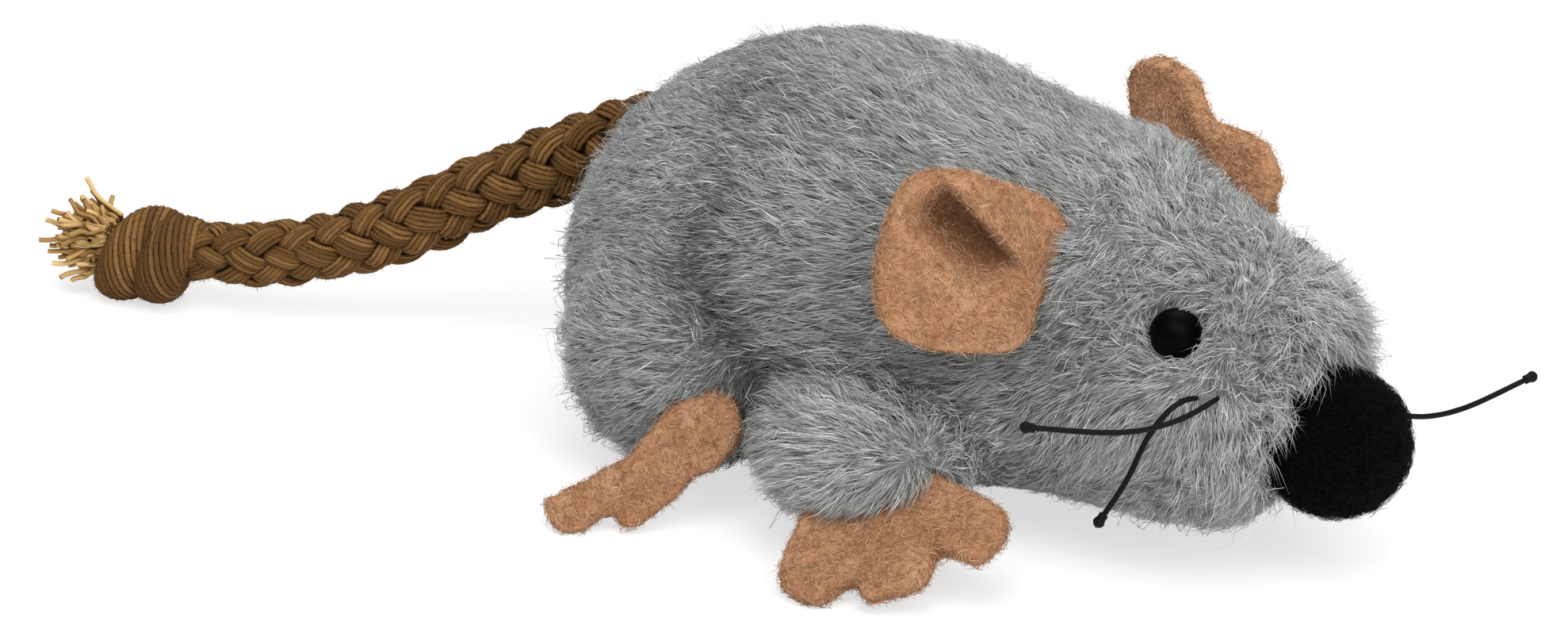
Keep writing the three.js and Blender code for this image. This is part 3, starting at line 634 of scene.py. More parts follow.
def tree_and_box(mesh):
    """A finder of places on a mesh, and the lowest and highest corner of the mesh."""
    points, triangles, _ = arrays_of(mesh)
    finder = BVHTree.FromPolygons(points.tolist(), triangles.tolist())
    return finder, points.min(axis=0), points.max(axis=0)


def nearest_nodes(points, names):
    """The number of the CAD node that each point lies nearest to."""
    trees = [tree_and_box(nodes[name].data)[0] for name in names]
    distances = np.array([[tree.find_nearest(p)[3] for tree in trees] for p in points.tolist()])
    return np.argmin(distances, axis=1)


def owned(owners, start):
    """Which places belong to a fur node whose name starts like that."""
    return np.char.startswith(np.array(FUR_NODES)[owners], start)


def smooth_step(low, high, values):
    share = np.clip((values - low) / (high - low), 0, 1)
    return share * share * (3 - 2 * share)


def combed(points, normals, owners):
    """Which way the pile lies at each point of the pelt, longer where it lies flatter."""
    sides = 1 - np.clip(normals[:, 2], 0, 1)
    flow = np.zeros_like(points)
    flow[:, 0] = -1
    flow[:, 2] = 0.05 - 0.42 * sides
    for number, name in enumerate(FUR_NODES):
        mine = owners == number
        low, high = box_of(name)
        if name.startswith("head"):
            muzzle = smooth_step(low[0] + 9 * MM, high[0] - 4 * MM, points[mine, 0])
            flow[mine, 0] = -0.55 + 1.1 * muzzle * (1 - sides[mine])
            flow[mine, 1] = 0.5 * (1 - sides[mine]) * np.clip(points[mine, 1] / (8 * MM), -1, 1)
            flow[mine, 2] = -0.7 * sides[mine]
        if name.startswith(("thigh", "arm")):
            outwards = np.sign(low[1] + high[1])
            whorl = (low + high) / 2 + (high - low) * np.array([0.4, 0.2 * outwards, 0.2])
            share = 0.35 if name.startswith("arm") else 0.6
            flow[mine] = unit(share * unit(points[mine] - whorl) + (-0.65, 0, -0.35))
    return flattened(flow, normals)


def smoothed(values, triangles, rounds):
    """Point values of a mesh, each drawn towards those of its neighbours."""
    count = len(values)
    edges = np.concatenate([triangles[:, [0, 1]], triangles[:, [1, 2]], triangles[:, [2, 0]]])
    shared = np.bincount(edges[:, 0], minlength=count) + np.bincount(edges[:, 1], minlength=count)
    for _ in range(rounds):
        total = np.zeros_like(values)
        np.add.at(total, edges[:, 0], values[edges[:, 1]])
        np.add.at(total, edges[:, 1], values[edges[:, 0]])
        values = 0.4 * values + 0.6 * total / np.maximum(shared, 1)[:, None]
    return values


def from_fold(points):
    """How far each point is from the fold before the haunch, how far down it, 0 to 1, and how far ahead."""
    line, _ = dense_line(FOLD_LINE, 0.5 * MM)
    mirrored = np.stack([points[:, 0], -np.abs(points[:, 1]), points[:, 2]], axis=1)
    away = np.linalg.norm(mirrored[:, None] - line[None], axis=2)
    nearest = away.argmin(axis=1)
    return away.min(axis=1), nearest / len(line), points[:, 0] - line[nearest, 0]


def creases(points, owners, triangles):
    """How near each point is to a deep fold, and to a seam that is smoothed over, from 0 to 1."""
    limb = owned(owners, "thigh") | owned(owners, "arm")
    mixed = limb[triangles].any(axis=1) & ~limb[triangles].all(axis=1)
    edge = np.zeros((len(points), 1))
    edge[triangles[mixed].ravel()] = 1
    low, high = box_of("thigh_right")
    thigh_middle = (low[0] + high[0]) / 2
    ahead = smooth_step(thigh_middle + 1 * MM, thigh_middle + 7 * MM, points[:, :1])
    fold = smoothed(edge * ahead, triangles, 12)
    seam = smoothed(edge * (1 - ahead), triangles, 24)
    away, down, _ = from_fold(points)
    deep = np.interp(down, [0, 0.2, 0.45, 1], [0.1, 0.4, 0.8, 0.8]) * np.exp(-(away / FOLD_WIDTH) ** 2)
    limb_depth = np.interp(points[:, :1], [-12 * MM, -4 * MM], [2.2, 1.0])
    fold = np.maximum(np.clip(fold * limb_depth, 0, 0.9), deep[:, None])
    return fold, np.clip(seam * 5, 0, 1)


# Pile: the hairs.

def pushed_out(paths, centre, radius):
    """Paths bent round a ball."""
    away = paths - centre
    distance = np.linalg.norm(away, axis=2, keepdims=True)
    inside = distance < radius
    return np.where(inside, centre + away / np.maximum(distance, 1e-9) * radius, paths)


def free_steps(path, tree):
    """How many steps of a path lie clear of a piece of felt, or None where all of them do."""
    for step in range(1, len(path)):
        start = Vector(path[step - 1])
        reach = Vector(path[step]) - start
        hit = tree.ray_cast(start, reach.normalized(), reach.length)
        if hit[0] is not None:
            return step - 1 + 0.8 * hit[3] / reach.length
    return None


def clipped(paths, felt_trees, margin):
    """Paths cut short where they meet a piece of felt."""
    last = paths.shape[1] - 1
    whole = np.arange(last + 1)
    shortest = 0.15 * last
    for tree, low, high in felt_trees:
        near = np.all((paths > low - margin) & (paths < high + margin), axis=2).any(axis=1)
        for index in np.nonzero(near)[0]:
            free = free_steps(paths[index], tree)
            if free is not None:
                steps = np.linspace(0, max(free, shortest), last + 1)
                paths[index] = line_at(steps, whole, paths[index])
    return paths


def clear_of_balls(paths):
    """Paths bent round the nose and the eyes, and which of them don't start inside one."""
    keep = np.ones(len(paths), dtype=bool)
    for ball, clear, sink, share_over in BALLS:
        low, high = box_of(ball)
        centre = (low + high) / 2
        radius = (high - low).max() / 2 - sink
        keep &= np.linalg.norm(paths[:, 0] - centre, axis=1) > radius + clear
        over = np.where(chance.random(len(paths)) < share_over, HAIR_OVER_BALL, clear / 2)
        paths = pushed_out(paths, centre, radius + over[:, None, None])
    return paths, keep


def clear_of_tail(paths, tail_path):
    """Paths bent round the tail; those that start under it stay there, and short."""
    covered = np.zeros(len(paths), dtype=bool)
    for centre in tail_path:
        covered |= np.linalg.norm(paths[:, 0] - centre, axis=1) < 0.42 * TAIL_DIAMETER
    under_tail = paths[covered]
    for centre in tail_path:
        paths = pushed_out(paths, centre, 0.48 * TAIL_DIAMETER)
    paths[covered] = under_tail[:, :1] + 0.6 * (under_tail - under_tail[:, :1])
    return paths


def messy_flow(points, normals, owners, triangles):
    """The lie of the pile at each point of the pelt, with waves of disorder in it."""
    flow = smoothed(combed(points, normals, owners), triangles, 6)
    mess = np.where(owned(owners, "head"), HEAD_MESS, BODY_MESS)[:, None]
    flow += mess * noise_at(points, 7 * MM) + 0.8 * mess * noise_at(points, 2.6 * MM)
    return flattened(flow, normals)


def patches_and_painted_shade(points):
    """How light or dark the pile is at each point of the pelt: in random patches, and darker before the
    haunch as painted shade.
    """
    away, _, before = from_fold(points)
    dusk = (np.exp(-(away / FOLD_SHADE) ** 2) * smooth_step(-5 * MM, 2 * MM, before))[:, None]
    return noise_at(points, 11 * MM)[:, :1] - FOLD_PAINTED_SHADE * dusk


def hair_lengths(root, owner, stray):
    length = STRAND_LENGTH * np.clip(chance.normal(1, 0.22, len(root)), 0.5, 1.6)
    length *= np.where(stray, STRAY_LENGTH, 1)
    length[owned(owner, "belly_panel")] *= BELLY_LENGTH
    length[np.linalg.norm(root - np.array(TAIL_EXIT) * MM, axis=1) < NEAR_TAIL] *= NEAR_TAIL_LENGTH
    return length * (1 + 0.2 * smooth_step(*MUZZLE_END, root[:, 0]))


def hair_tones(owner, depth, lock_tone, shade):
    """The tone of each hair: its own and its lock's, in patches; a few are white, as painted glints, and
    some in folds are dark, as painted shade.
    """
    count = len(owner)
    tones = (1 - LOCK_TONE) * chance.random(count) + LOCK_TONE * lock_tone
    tones = np.clip(0.2 + 0.76 * tones + 0.25 * shade, *TONE_RANGE)
    tones += np.where(owned(owner, "head"), HEAD_TONE, 0)
    tones += np.where(owned(owner, "arm"), ARM_TONE, 0)
    tones = np.where(chance.random(count) < PAINTED_GLINT_SHARE, 1, np.clip(tones, *TONE_RANGE))
    return np.where(chance.random(count) < depth, FOLD_PAINTED_SHADE_TONE * chance.random(count), tones)


def pile_heights(root, normal, stray):
    """How high each hair may stand over the pelt."""
    fluff = np.interp(root[:, 0], FLUFF_PLACES, FLUFF)
    fluff *= np.where(normal[:, 2] < -0.2, UNDERSIDE_FLUFF, 1)
    highest = PILE * np.interp(root[:, 0], [-30 * MM, -10 * MM], [0.6, 1])
    highest = highest + fluff * (0.1 + 1.3 * chance.random(len(root)) ** 2)
    return highest * np.where(stray, STRAY_HEIGHT, 1)


def hair_paths(root, normal, lie, length, lock_rise, stray):
    """Three points for each hair, which rises from the pelt and then bends over."""
    front = smooth_step(*MUZZLE_END, root[:, 0])
    upright = np.clip(UPRIGHT + LOCK_RISE * lock_rise + 0.16 * front, 0.15, 0.85)[:, None]
    first = unit(normal * upright + lie * (1 - upright))
    second = unit(normal * 0.4 * upright + lie * (1 - 0.4 * upright))
    rise = np.sum((first + second) * normal, axis=1) * length / 2
    length = length * np.minimum(1, pile_heights(root, normal, stray) / np.maximum(rise, 0.1 * MM))
    half = (length / 2)[:, None]
    start = root - ROOT_DEPTH * normal
    return np.stack([start, root + first * half, root + (first + second) * half], axis=1)


def gathered(paths, leader):
    """Each path drawn towards the one that leads its lock, most at its tip."""
    pull = chance.uniform(0, LOCK_PULL, len(paths))[:, None, None]
    bend = (np.linspace(0, 1, paths.shape[1]) ** 1.5)[None, :, None]
    return paths + (paths[leader] - paths) * pull * bend


def grow_pile(pelt, owners, felt_trees, tail_path):
    """All hairs of the pelt, as pieces of the fur nodes that they grow on."""
    points, triangles, normals = arrays_of(pelt.data)
    flow = messy_flow(points, normals, owners, triangles)
    crease, _ = creases(points, owners, triangles)
    shade = patches_and_painted_shade(points)
    corners, weights = scattered(points, triangles, STRANDS_PER_MM2)
    count = len(corners)
    root = between(points, corners, weights)
    normal = unit(between(normals, corners, weights))
    depth = between(crease, corners, weights)[:, 0]
    owner = owners[corners[:, 0]]
    lock, leader = locks_of(root)
    lock_turn = chance.normal(size=(lock.max() + 1, 3))[lock]
    lock_rise = chance.normal(size=lock.max() + 1)[lock]
    lock_tone = chance.random(lock.max() + 1)[lock]
    lie = between(flow, corners, weights) + LOCK_TURN * lock_turn
    lie = (lie + HAIR_TURN * chance.normal(size=(count, 3))) * (1 - 0.5 * depth)[:, None]
    stray = chance.random(count) < STRAY_SHARE
    length = hair_lengths(root, owner, stray)
    # Dark tones for hairs in folds and before the haunch are painted shade; the white hairs are painted
    # glints.
    tones = hair_tones(owner, depth, lock_tone, between(shade, corners, weights)[:, 0])
    paths = gathered(hair_paths(root, normal, lie, length, lock_rise, stray), leader)
    paths, keep = clear_of_balls(paths)
    paths = clear_of_tail(paths, tail_path)
    paths, owner, tones = paths[keep], owner[keep], tones[keep]
    paths = lifted(clipped(paths, felt_trees, 3 * MM), 0.1 * MM)
    radii = STRAND_RADIUS * chance.uniform(0.7, 1.25, len(paths))
    for number, node in enumerate(FUR_NODES):
        mine = np.nonzero(owner == number)[0]
        shares = np.array_split(mine, math.ceil(len(mine) / STRANDS_IN_PIECE))
        for place, share in enumerate(shares):
            name = "fur_" + node.replace("_skin", "") + "_" + str(place + 1)
            piece = add_strands(name, paths[share], radii[share], tones[share], fur)
            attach(piece, "mouse")
            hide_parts(node)


def locks_of(roots):
    """The lock that each hair belongs to, and the hair that leads it."""
    leaders = chance.choice(len(roots), size=len(roots) // LOCK_SIZE, replace=False)
    finder = KDTree(len(leaders))
    for place, leader in enumerate(leaders):
        finder.insert(roots[leader], place)
    finder.balance()
    lock = np.array([finder.find(root)[1] for root in roots.tolist()])
    return lock, leaders[lock]


# Felt.

def pleated(outwards, upwards):
    """The near ear: curled to the front below, with a fold that runs up from the seat over a hollow."""
    out, up = outwards - PLEAT_START[0], upwards - PLEAT_START[1]
    fade = 1 - 0.5 * np.clip(outwards / EAR_REACH, 0, 1)
    curl = EAR_CURL * fade * np.clip(0.5 - up / EAR_REACH, 0, 1) ** 1.5 - 1.6 * MM
    along = PLEAT_RUN[0] * out + PLEAT_RUN[1] * up
    below = PLEAT_RUN[1] * out - PLEAT_RUN[0] * up
    reach = np.exp(-((along - 5.6 * MM) / (4.4 * MM)) ** 4)
    hollow = smooth_step(-0.5 * MM, 0.9 * MM, below) * (1 - smooth_step(2.4 * MM, 6.4 * MM, below))
    fold = np.exp(-((below + 0.9 * MM) / (1.2 * MM)) ** 2) * np.exp(-((along - 4.5 * MM) / (5.5 * MM)) ** 4)
    seam = 1 - smooth_step(-1 * MM, 4.5 * MM, outwards)
    return curl - PLEAT_DEPTH * reach * hollow + PLEAT_RIDGE * fold - EAR_SEAM * seam


def cupped(outwards, upwards):
    """The far ear: laid back along the head, hollow between its seat and its tip."""
    hollow = np.exp(-((outwards - 4 * MM) / (2.6 * MM)) ** 2) * smooth_step(1 * MM, 7 * MM, upwards)
    bowl = ((outwards - 8 * MM) / (8 * MM)) ** 2
    low = smooth_step(0, -4 * MM, upwards)
    return 0.8 * MM * bowl - 1.1 * MM * hollow + 2.4 * MM * low - 0.4 * MM


def sheet_of(outline):
    """A flat sheet of felt with rounded edges, cut to an outline, in its own plane."""
    loop = closed_line([(x, y, 0) for x, y in outline])
    curve = bpy.data.curves.new("outline", "CURVE")
    curve.dimensions = "2D"
    curve.fill_mode = "BOTH"
    curve.extrude = FELT_THICK / 2 - FELT_ROUNDING
    curve.bevel_depth = FELT_ROUNDING
    curve.bevel_resolution = 3
    curve.offset = -FELT_ROUNDING
    spline = curve.splines.new("POLY")
    spline.points.add(len(loop) - 1)
    spline.points.foreach_set("co", np.concatenate([loop, np.ones((len(loop), 1))], axis=1).ravel())
    spline.use_cyclic_u = True
    points, faces, _ = arrays_of(shown(new_object("outline", curve)))
    return points, faces


def make_sheet(node, outline, relief, place):
    """A felt piece: an outline cut from felt, pressed into relief, and put in its place."""
    mesh = modified(*sheet_of(outline), [WELD, *remeshed(FELT_GRAIN, 4)])
    points, _, normals = arrays_of(mesh)
    points = points + normals * noise_at(points, 2.6 * MM)[:, :1] * 0.06 * MM
    points[:, 2] += relief(points[:, 0], points[:, 1])
    set_points(mesh, lifted(place(points), 0.05 * MM))
    inside_out = np.linalg.det(place(np.eye(3)) - place(np.zeros((1, 3)))) < 0
    if inside_out:
        mesh.flip_normals()
    mesh.update()
    piece = add_smooth(node + "_felt", mesh, tan_felt)
    fuzz = add_fuzz(node + "_fuzz", mesh, tan_fibre, FELT_FIBRES_PER_MM2, FELT_FIBRE)
    for part in (piece, *fuzz):
        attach(part, node)
    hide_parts(node)
    return piece


def ear_place(ear):
    """From the plane of an ear to its place; its upward direction may lean away from the viewer."""
    sweep = math.radians(ear["sweep"])
    out = np.array([-math.sin(sweep), ear["side"] * math.cos(sweep), 0])
    front = np.array([math.cos(sweep), ear["side"] * math.sin(sweep), 0])
    upwards = np.array([0, 0, 1]) - ear["lean"] * np.array(view_axes()[2])
    axes = np.stack([out, upwards, front])
    return lambda points: np.array(ear["seat"]) * MM + points @ axes


def foot_place(node, shift):
    """From the plane of a foot to its place: the plane is that of the CAD node."""
    points, triangles, _ = arrays_of(nodes[node].data)
    areas = triangle_areas(points, triangles)
    middles = points[triangles].mean(axis=1)
    middle = (middles * areas[:, None]).sum(axis=0) / areas.sum()
    spread = (middles - middle) * areas[:, None]
    face = np.linalg.eigh(spread.T @ (middles - middle))[1][:, 0]
    face = face * np.sign(face[2])
    level = unit(np.cross((0, 0, 1), face)) * -np.sign(middle[1])
    slope = unit((0, 0, 1) - face * face[2])
    axes = np.stack([level, slope, face])
    return lambda points: middle - FOOT_SINK * face + (points + np.array(shift) * MM) @ axes


def grooved(grooves):
    """A gently wavy foot with a groove between each two toes; a groove has two ends, in mm."""
    def relief(across, along):
        height = 0.35 * MM * np.sin(across / (3 * MM)) * np.cos(along / (3.4 * MM))
        here = np.stack([across, along], axis=1)
        for start, end in np.array(grooves) * MM:
            run = end - start
            share = np.clip((here - start) @ run / (run @ run), 0, 1)
            away = np.linalg.norm(here - start - share[:, None] * run, axis=1)
            height -= GROOVE_DEPTH * (1 - share) * np.exp(-(away / GROOVE_WIDTH) ** 2)
        return height
    return relief


def make_nose():
    mesh = modified(*joined_nodes(["nose_ball"]), [WELD, *remeshed(FELT_GRAIN, 12)])
    points, _, normals = arrays_of(mesh)
    set_points(mesh, points + normals * noise_at(points, 1.5 * MM)[:, :1] * 0.15 * MM)
    mesh.update()
    nose = add_smooth("nose_felt", mesh, black_felt)
    fuzz = add_fuzz("nose_fuzz", mesh, black_fibre, FELT_FIBRES_PER_MM2, NOSE_FIBRE)
    for part in (nose, *fuzz):
        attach(part, "mouse")
    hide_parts("nose_ball")


def add_fuzz(name, mesh, material, per_mm2, fibre_length, steps=4):
    """Short loose fibres that lie about on felt or cord, in several pieces where they are many."""
    points, triangles, normals = arrays_of(mesh)
    corners, weights = scattered(points, triangles, per_mm2)
    count = len(corners)
    root = between(points, corners, weights)
    normal = unit(between(normals, corners, weights))
    lie = unit(flattened(chance.normal(size=(count, 3)), normal))
    length = fibre_length * chance.uniform(0.5, 1.5, count)
    turn = unit(np.cross(lie, normal)) * chance.normal(0, 0.9, (count, 1))
    paths = np.empty((count, steps + 1, 3))
    paths[:, 0] = root - 0.05 * MM * normal
    for step in range(steps):
        rise = 0.4 - step / steps + 0.2 * chance.random((count, 1))
        heading = unit(lie + turn * step / steps * 2 + normal * rise)
        paths[:, step + 1] = paths[:, step] + heading * (length / steps)[:, None]
    paths = lifted(paths, 0.05 * MM)
    radii = chance.uniform(*FIBRE_RADII, count) * MM
    tones = chance.random(count)
    triangles_each = 6 * steps - 3
    shares = np.array_split(np.arange(count), math.ceil(count * triangles_each / TRIANGLES_IN_PIECE))
    return [
        add_strands(name + "_" + str(place + 1), paths[share], radii[share], tones[share], material)
        for place, share in enumerate(shares)
    ]


# Tail.

def curve_piece(before, start, end, after, steps):
    """Points of a smooth line from start up to end, whose slope depends on the points around them."""
    share = np.linspace(0, 1, steps, endpoint=False)[:, None]
    return 0.5 * (
        2 * start + (end - before) * share
        + (2 * before - 5 * start + 4 * end - after) * share ** 2
        + (3 * start - before - 3 * end + after) * share ** 3
    )


def line_at(places, known, line):
    """Points of a line at some places, where its own points are at the known ones."""
    return np.stack([np.interp(places, known, line[:, axis]) for axis in range(3)], axis=1)


def dense_line(line, spacing):
    """A smooth line through the given points, with evenly spaced points on it, and its length."""
    given = np.array(line, dtype=float) * MM
    padded = np.concatenate([[2 * given[0] - given[1]], given, [2 * given[-1] - given[-2]]])
    pieces = [curve_piece(*padded[index - 1:index + 3], 40) for index in range(1, len(padded) - 2)]
    curve = np.concatenate(pieces + [given[-1:]])
    lengths = np.concatenate([[0], np.cumsum(np.linalg.norm(np.diff(curve, axis=0), axis=1))])
    stations = np.linspace(0, lengths[-1], int(lengths[-1] / spacing) + 1)
    return line_at(stations, lengths, curve), lengths[-1]


def closed_line(line):
    """Points of a smooth line through the given points and back to the first."""
    given = np.array(line, dtype=float) * MM
    padded = np.concatenate([given[-1:], given, given[:2]])
    return np.concatenate([curve_piece(*padded[index:index + 4], 8) for index in range(len(given))])


def frames_along(line):
    """Directions to the side and upwards at each point of a line, without twist."""
    ahead = unit(np.gradient(line, axis=0))
    side = np.empty_like(line)
    current = np.cross(ahead[0], (0, 0, 1.0))
    for index in range(len(line)):
        current = current - ahead[index] * np.dot(current, ahead[index])
        current = current / np.linalg.norm(current)
        side[index] = current
    return side, np.cross(side, ahead)


def tubes(lines, radii, sides):
    """Points and faces of round tubes along lines that all have the same number of points."""
    count, steps = lines.shape[0], lines.shape[1]
    ahead = unit(np.gradient(lines, axis=1))
    guide = np.broadcast_to(np.array([0.13, 0.31, 0.94]), ahead.shape)
    side = unit(np.cross(ahead, guide))
    other = np.cross(side, ahead)
    points = rings_round(lines, side, other, radii, sides).reshape(-1, 3)
    base = (np.arange(count) * steps * sides)[:, None, None, None]
    step = (np.arange(steps - 1) * sides)[None, :, None, None]
    corner = np.arange(sides)
    around = np.stack([corner, (corner + 1) % sides, (corner + 1) % sides + sides, corner + sides], axis=1)
    return points, (base + step + around[None, None]).reshape(-1, 4)


def braided(line, scale):
    """Yarns of a round braid: columns of short stitches that lean to the left and right in turn."""
    side, up = frames_along(line)
    steps = np.linalg.norm(np.diff(line, axis=0), axis=1)
    grown = np.concatenate([[0], np.cumsum(steps / scale[1:])])
    share = np.linspace(-0.5, 0.5, 11)
    yarns = []
    for column in range(BRAID_COLUMNS):
        odd = column % 2
        for stitch in range(int(grown[-1] / STITCH_PITCH) + 1):
            middle = (stitch + 0.5 * odd + chance.normal(0, 0.05)) * STITCH_PITCH
            lean = STITCH_TILT * (1 if odd else -1) + chance.normal(0, 0.09)
            lump = chance.normal(0, 0.14) * MM
            for yarn in range(STITCH_YARNS):
                offset = (yarn - (STITCH_YARNS - 1) / 2) * YARN_SPACING
                forwards = middle + share * STITCH_LENGTH * math.cos(lean) - offset * math.sin(lean)
                around = share * STITCH_LENGTH * math.sin(lean) + offset * math.cos(lean)
                angle = 2 * math.pi * column / BRAID_COLUMNS + around / BRAID_RADIUS
                rim = (2 * offset / (STITCH_YARNS * YARN_SPACING)) ** 2
                height = BRAID_RADIUS * (1 - STITCH_ARCH * np.abs(2 * share) ** 2.4) + lump - 0.5 * MM * rim
                place = np.interp(forwards, grown, np.arange(len(line)))
                whole = np.round(place).astype(int)
                reach = (height * scale[whole])[:, None]
                away = np.cos(angle)[:, None] * side[whole] + np.sin(angle)[:, None] * up[whole]
                yarns.append(line[whole] + reach * away)
    return np.array(yarns)


def yarn_mesh(yarns, radius, tones):
    """Points, faces and uvs of yarns of one radius, which have a tone each."""
    points, faces = tubes(yarns, np.full(yarns.shape[:2], radius), YARN_SIDES)
    along = np.repeat(np.linspace(0, 1, yarns.shape[1]), YARN_SIDES)
    uvs = np.stack([np.repeat(tones, len(along)), np.tile(along, len(yarns))], axis=1)
    return points, faces, uvs


def add_yarns(name, yarns, radius, core, core_radii, material):
    """A cord as one mesh: its yarns, and a core that closes the gaps between them."""
    points, faces, uvs = yarn_mesh(yarns, radius, 0.1 + 0.9 * chance.random(len(yarns)))
    core_points, core_faces = tubes(core[None], core_radii[None], 2 * YARN_SIDES)
    uvs = np.concatenate([uvs, np.zeros((len(core_points), 2))])
    faces = np.concatenate([faces, core_faces + len(points)])
    points = lifted(np.concatenate([points, core_points]), 0.1 * MM)
    return add_mesh(name, points, faces, material, uvs)


def add_cord_fuzz(name, mesh):
    return add_fuzz(name, mesh, tail_fibre, CORD_FIBRES_PER_MM2, CORD_FIBRE, CORD_FIBRE_STEPS)


def make_tail():
    """The braided cord of the tail, its loose fibres, its middle line and its length."""
    line, length = dense_line(TAIL_LINE, 0.22 * MM)
    scale = np.interp(np.linspace(0, 1, len(line)), TAIL_PLACES, TAIL_SCALE)
    tail = add_yarns("tail_braid", braided(line, scale), YARN_RADIUS, line, CORE_RADIUS * scale, tail_yarn)
    fuzz = add_cord_fuzz("tail_fuzz", tail.data)
    for part in (tail, *fuzz):
        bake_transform(part)
    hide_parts("tail_root", "tail_base", "tail_cord")
    return tail, fuzz, line, length


def make_knot(line):
    """The knot: two turns of the cord, drawn tight and flat about the end of the tail."""
    low, high = box_of("tail_knot")
    centre = (low + high) / 2 + np.array(KNOT_SHIFT) * MM
    ahead = unit(line[-1] - line[-12])
    side = unit(np.cross(ahead, (0, 0, 1.0)))
    up = np.cross(side, ahead)
    share = np.linspace(0, 1, 150)
    angle = 2 * math.pi * (KNOT_TURNS * share + 0.15)
    radial = np.cos(angle)[:, None] * side + np.sin(angle)[:, None] * up
    reach = KNOT_REACH * np.clip(np.minimum(share, 1 - share) / 0.08, 0, 1) ** 0.5
    run = (share - 0.5) * KNOT_RUN - KNOT_LEAN * np.sin(angle)
    path = centre + run[:, None] * ahead + reach[:, None] * radial
    bands = []
    for yarn in range(BAND_YARNS):
        turn = 2 * math.pi * (yarn / BAND_YARNS + BAND_TWIST * share)[:, None]
        bands.append(path + BAND_WIDE * np.cos(turn) * ahead + BAND_DEEP * np.sin(turn) * radial)
    core_radii = np.full(len(path), 0.9 * BAND_DEEP)
    knot = add_yarns("tail_knot_bands", np.array(bands), 1.4 * YARN_RADIUS, path, core_radii, tail_yarn)
    fuzz = add_cord_fuzz("tail_knot_fuzz", knot.data)
    for part in (knot, *fuzz):
        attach(part, "tail_end")
    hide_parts("tail_knot")
    return knot, fuzz, centre, ahead, side, up


def make_tuft(centre, ahead, side, up):
    """The frayed end: loose wavy yarns that spring from the knot."""
    count = TUFT_YARNS
    place = np.clip(chance.normal(0, 1, (count, 2)), -1.6, 1.6)
    spread = 0.2 * place + chance.normal(0, 0.3, (count, 2))
    heading = unit(ahead + spread[:, :1] * side + (0.6 * spread[:, 1:] - 0.02) * up)
    start = centre + ahead * 4.2 * MM + up * 1.3 * MM + 1.1 * MM * place @ np.stack([side, up])
    length = chance.uniform(*TUFT_LENGTHS, count) * MM
    share = np.linspace(0, 1, TUFT_STEPS)
    curl = unit(chance.normal(size=(count, 3)) + 0.5 * up)
    wave = unit(chance.normal(size=(count, 3)))
    lines = start[:, None] + heading[:, None] * (length[:, None] * share)[..., None]
    lines += curl[:, None] * (chance.uniform(*TUFT_CURLS, count)[:, None] * MM * share ** 2)[..., None]
    ripple = np.sin(share * 2 * math.pi * chance.uniform(1, 2, count)[:, None])
    lines = lifted(lines + wave[:, None] * (TUFT_RIPPLE * ripple)[..., None], 0.3 * MM)
    points, faces, uvs = yarn_mesh(lines, TUFT_RADIUS, chance.random(count))
    tuft = add_mesh("tail_tuft_yarns", points, faces, straw_yarn, uvs)
    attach(tuft, "tail_end")
    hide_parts("tail_tuft")
    return tuft


# Eyes, nose and whiskers.

def make_eye(node):
    low, high = (Vector(corner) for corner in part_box(node))
    radius = EYE_SIZE * (high - low).length / 2 / math.sqrt(3)
    bpy.ops.mesh.primitive_uv_sphere_add(segments=40, ring_count=24, radius=radius)
    eye = bpy.context.object
    eye.name = node + "_bead"
    eye.location = (low + high) / 2
    if node == "eye_left":
        eye.location -= Vector((0, 0.7, 0.7)) * EYE_SINK
    eye.scale = (1, 1, 0.96)
    bpy.ops.object.transform_apply(location=True, rotation=True, scale=True)
    bpy.ops.object.shade_smooth()
    eye.data.materials.append(eye_black)
    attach(eye, "mouse")
    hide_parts(node)


def dress_whiskers():
    for name in ("whisker_left_front", "whisker_left_rear", "whisker_right_front", "whisker_right_rear"):
        dress(nodes[name].data, whisker_black)
        add_modifiers(nodes[name], [WELD, ("SUBSURF", {"levels": 2, "render_levels": 2})])
        add_whisker_end(name, "whiskers_left" if "left" in name else "whiskers_right")


def add_whisker_end(name, body):
    """The melted end of a whisker, a little thicker than the thread."""
    points, _, _ = arrays_of(nodes[name].data)
    out = np.abs(points[:, 1])
    end = points[out > out.max() - 0.5 * MM].mean(axis=0)
    inner = points[(out < out.max() - 1.2 * MM) & (out > out.max() - 2.4 * MM)].mean(axis=0)
    heading = unit(end - inner)
    share = np.linspace(-1, 1, 9)
    line = end + heading * (share * 0.8 * MM)[:, None]
    bulge = 0.5 * MM * np.sqrt(np.maximum(1 - share ** 4, 0.004)) * (1 + 0.15 * np.sin(5 * share))
    ring_points, faces = tubes(line[None], bulge[None], 10)
    piece = add_mesh(name + "_end", ring_points, faces, whisker_black)
    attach(piece, body)


def show_inner():
    """The filling and the sachet, which nobody sees, in the colour of the pelt."""
    for name in INNER_NODES:
        dress(nodes[name].data, backing)


# Light, floor and background.

def add_lamp(name, place, size, power):
    data = bpy.data.lights.new(name, "AREA")
    data.shape = "DISK"
    data.size = size
    data.energy = power
    lamp = new_object(name, data)
    lamp.location = place
    lamp.rotation_euler = (Vector(place) - Vector(LAMP_AIM)).to_track_quat("Z", "Y").to_euler()


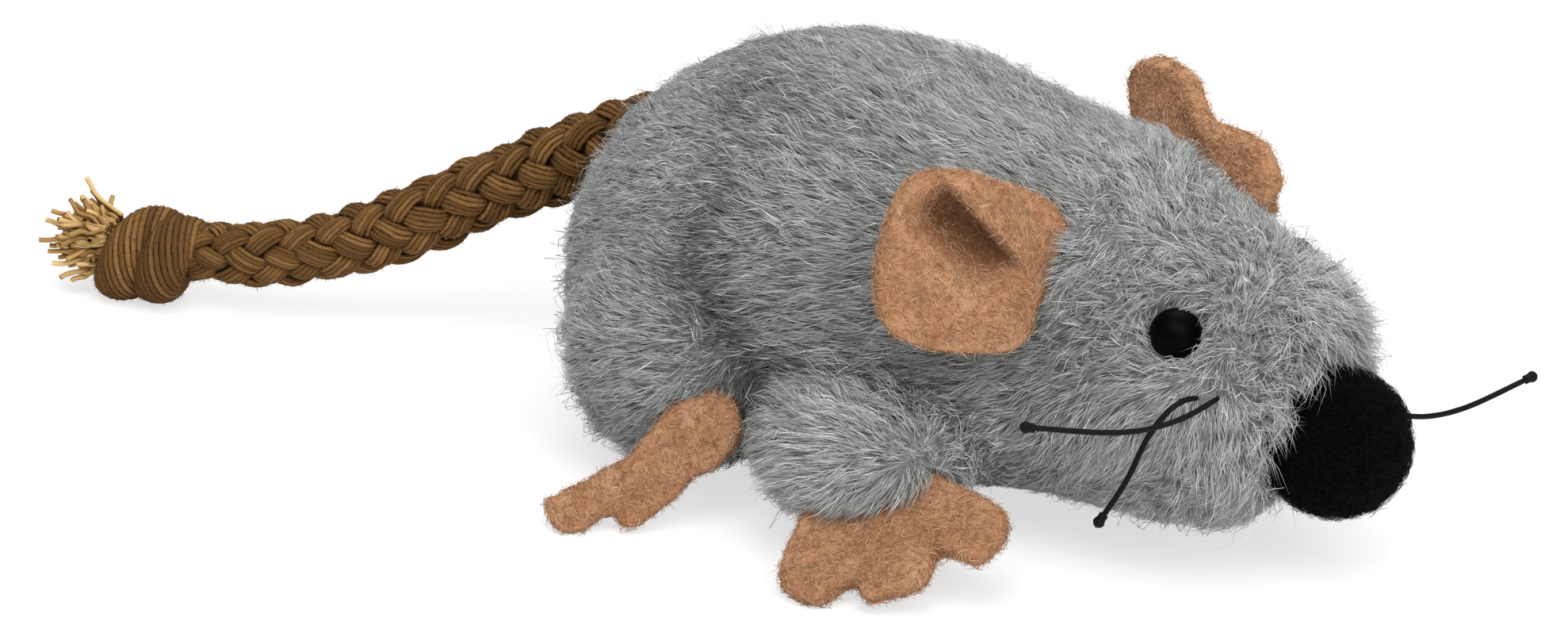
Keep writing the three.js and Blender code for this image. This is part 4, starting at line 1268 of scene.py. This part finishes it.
def floor_material():
    """A pale floor that the camera sees as nearly white, with the object's shadow on it."""
    material, tree, shader = new_material("pale_floor", 0.9, 0.1)
    shader.inputs["Base Color"].default_value = srgb(250, 250, 250)
    glow = new_node(tree, "Emission", Strength=1)
    path = new_node(tree, "LightPath")
    share = new_node(tree, "Math")
    share.operation = "MULTIPLY"
    share.inputs[1].default_value = FLOOR_GLOW
    tree.links.new(path.outputs["Is Camera Ray"], share.inputs[0])
    sources = shader.outputs["BSDF"], glow.outputs["Emission"]
    mix_shaders(tree, share.outputs["Value"], *sources, "Material Output")
    return material


def mix_shaders(tree, share, first, second, output):
    """Two shaders mixed by a share of the second, as what the material or the world shows."""
    mix = new_node(tree, "MixShader")
    for place, source in enumerate((share, first, second)):
        tree.links.new(source, mix.inputs[place])
    tree.links.new(mix.outputs["Shader"], tree.nodes[output].inputs["Surface"])


def add_studio():
    """Three lamps, an even sky that the camera sees as white, and a floor."""
    world = bpy.data.worlds.new("studio")
    scene.world = world
    world.use_nodes = True
    tree = world.node_tree
    light = tree.nodes["Background"]
    light.inputs["Color"].default_value = WHITE
    light.inputs["Strength"].default_value = SKY_LIGHT
    seen = new_node(tree, "Background", Color=WHITE, Strength=1)
    path = new_node(tree, "LightPath")
    sources = light.outputs["Background"], seen.outputs["Background"]
    mix_shaders(tree, path.outputs["Is Camera Ray"], *sources, "World Output")
    for lamp in LAMPS:
        add_lamp(*lamp)
    bpy.ops.mesh.primitive_plane_add(size=FLOOR_SIZE, location=(0, 0, 0))
    floor = bpy.context.object
    floor.name = "floor"
    floor.data.materials.append(floor_material())
    scene.view_settings.view_transform = "Standard"


add_camera()
tail, tail_fuzz, tail_path, tail_length = make_tail()
knot, knot_fuzz, *knot_place = make_knot(tail_path)
tuft = make_tuft(*knot_place)

felts = [
    make_sheet("ear_left", FAR_EAR_OUTLINE, cupped, ear_place(EARS["ear_left"])),
    make_sheet("ear_right", NEAR_EAR_OUTLINE, pleated, ear_place(EARS["ear_right"])),
]
for foot, (outline, grooves, shift) in FEET.items():
    for foot_node in (foot + "_left", foot + "_right"):
        felts.append(make_sheet(foot_node, outline, grooved(grooves), foot_place(foot_node, shift)))
make_nose()
make_eye("eye_left")
make_eye("eye_right")
dress_whiskers()
show_inner()

pelt_piece, pelt_owners = make_pelt()
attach(pelt_piece, "mouse")
grow_pile(pelt_piece, pelt_owners, [tree_and_box(felt.data) for felt in felts], tail_path[::8])

add_studio()
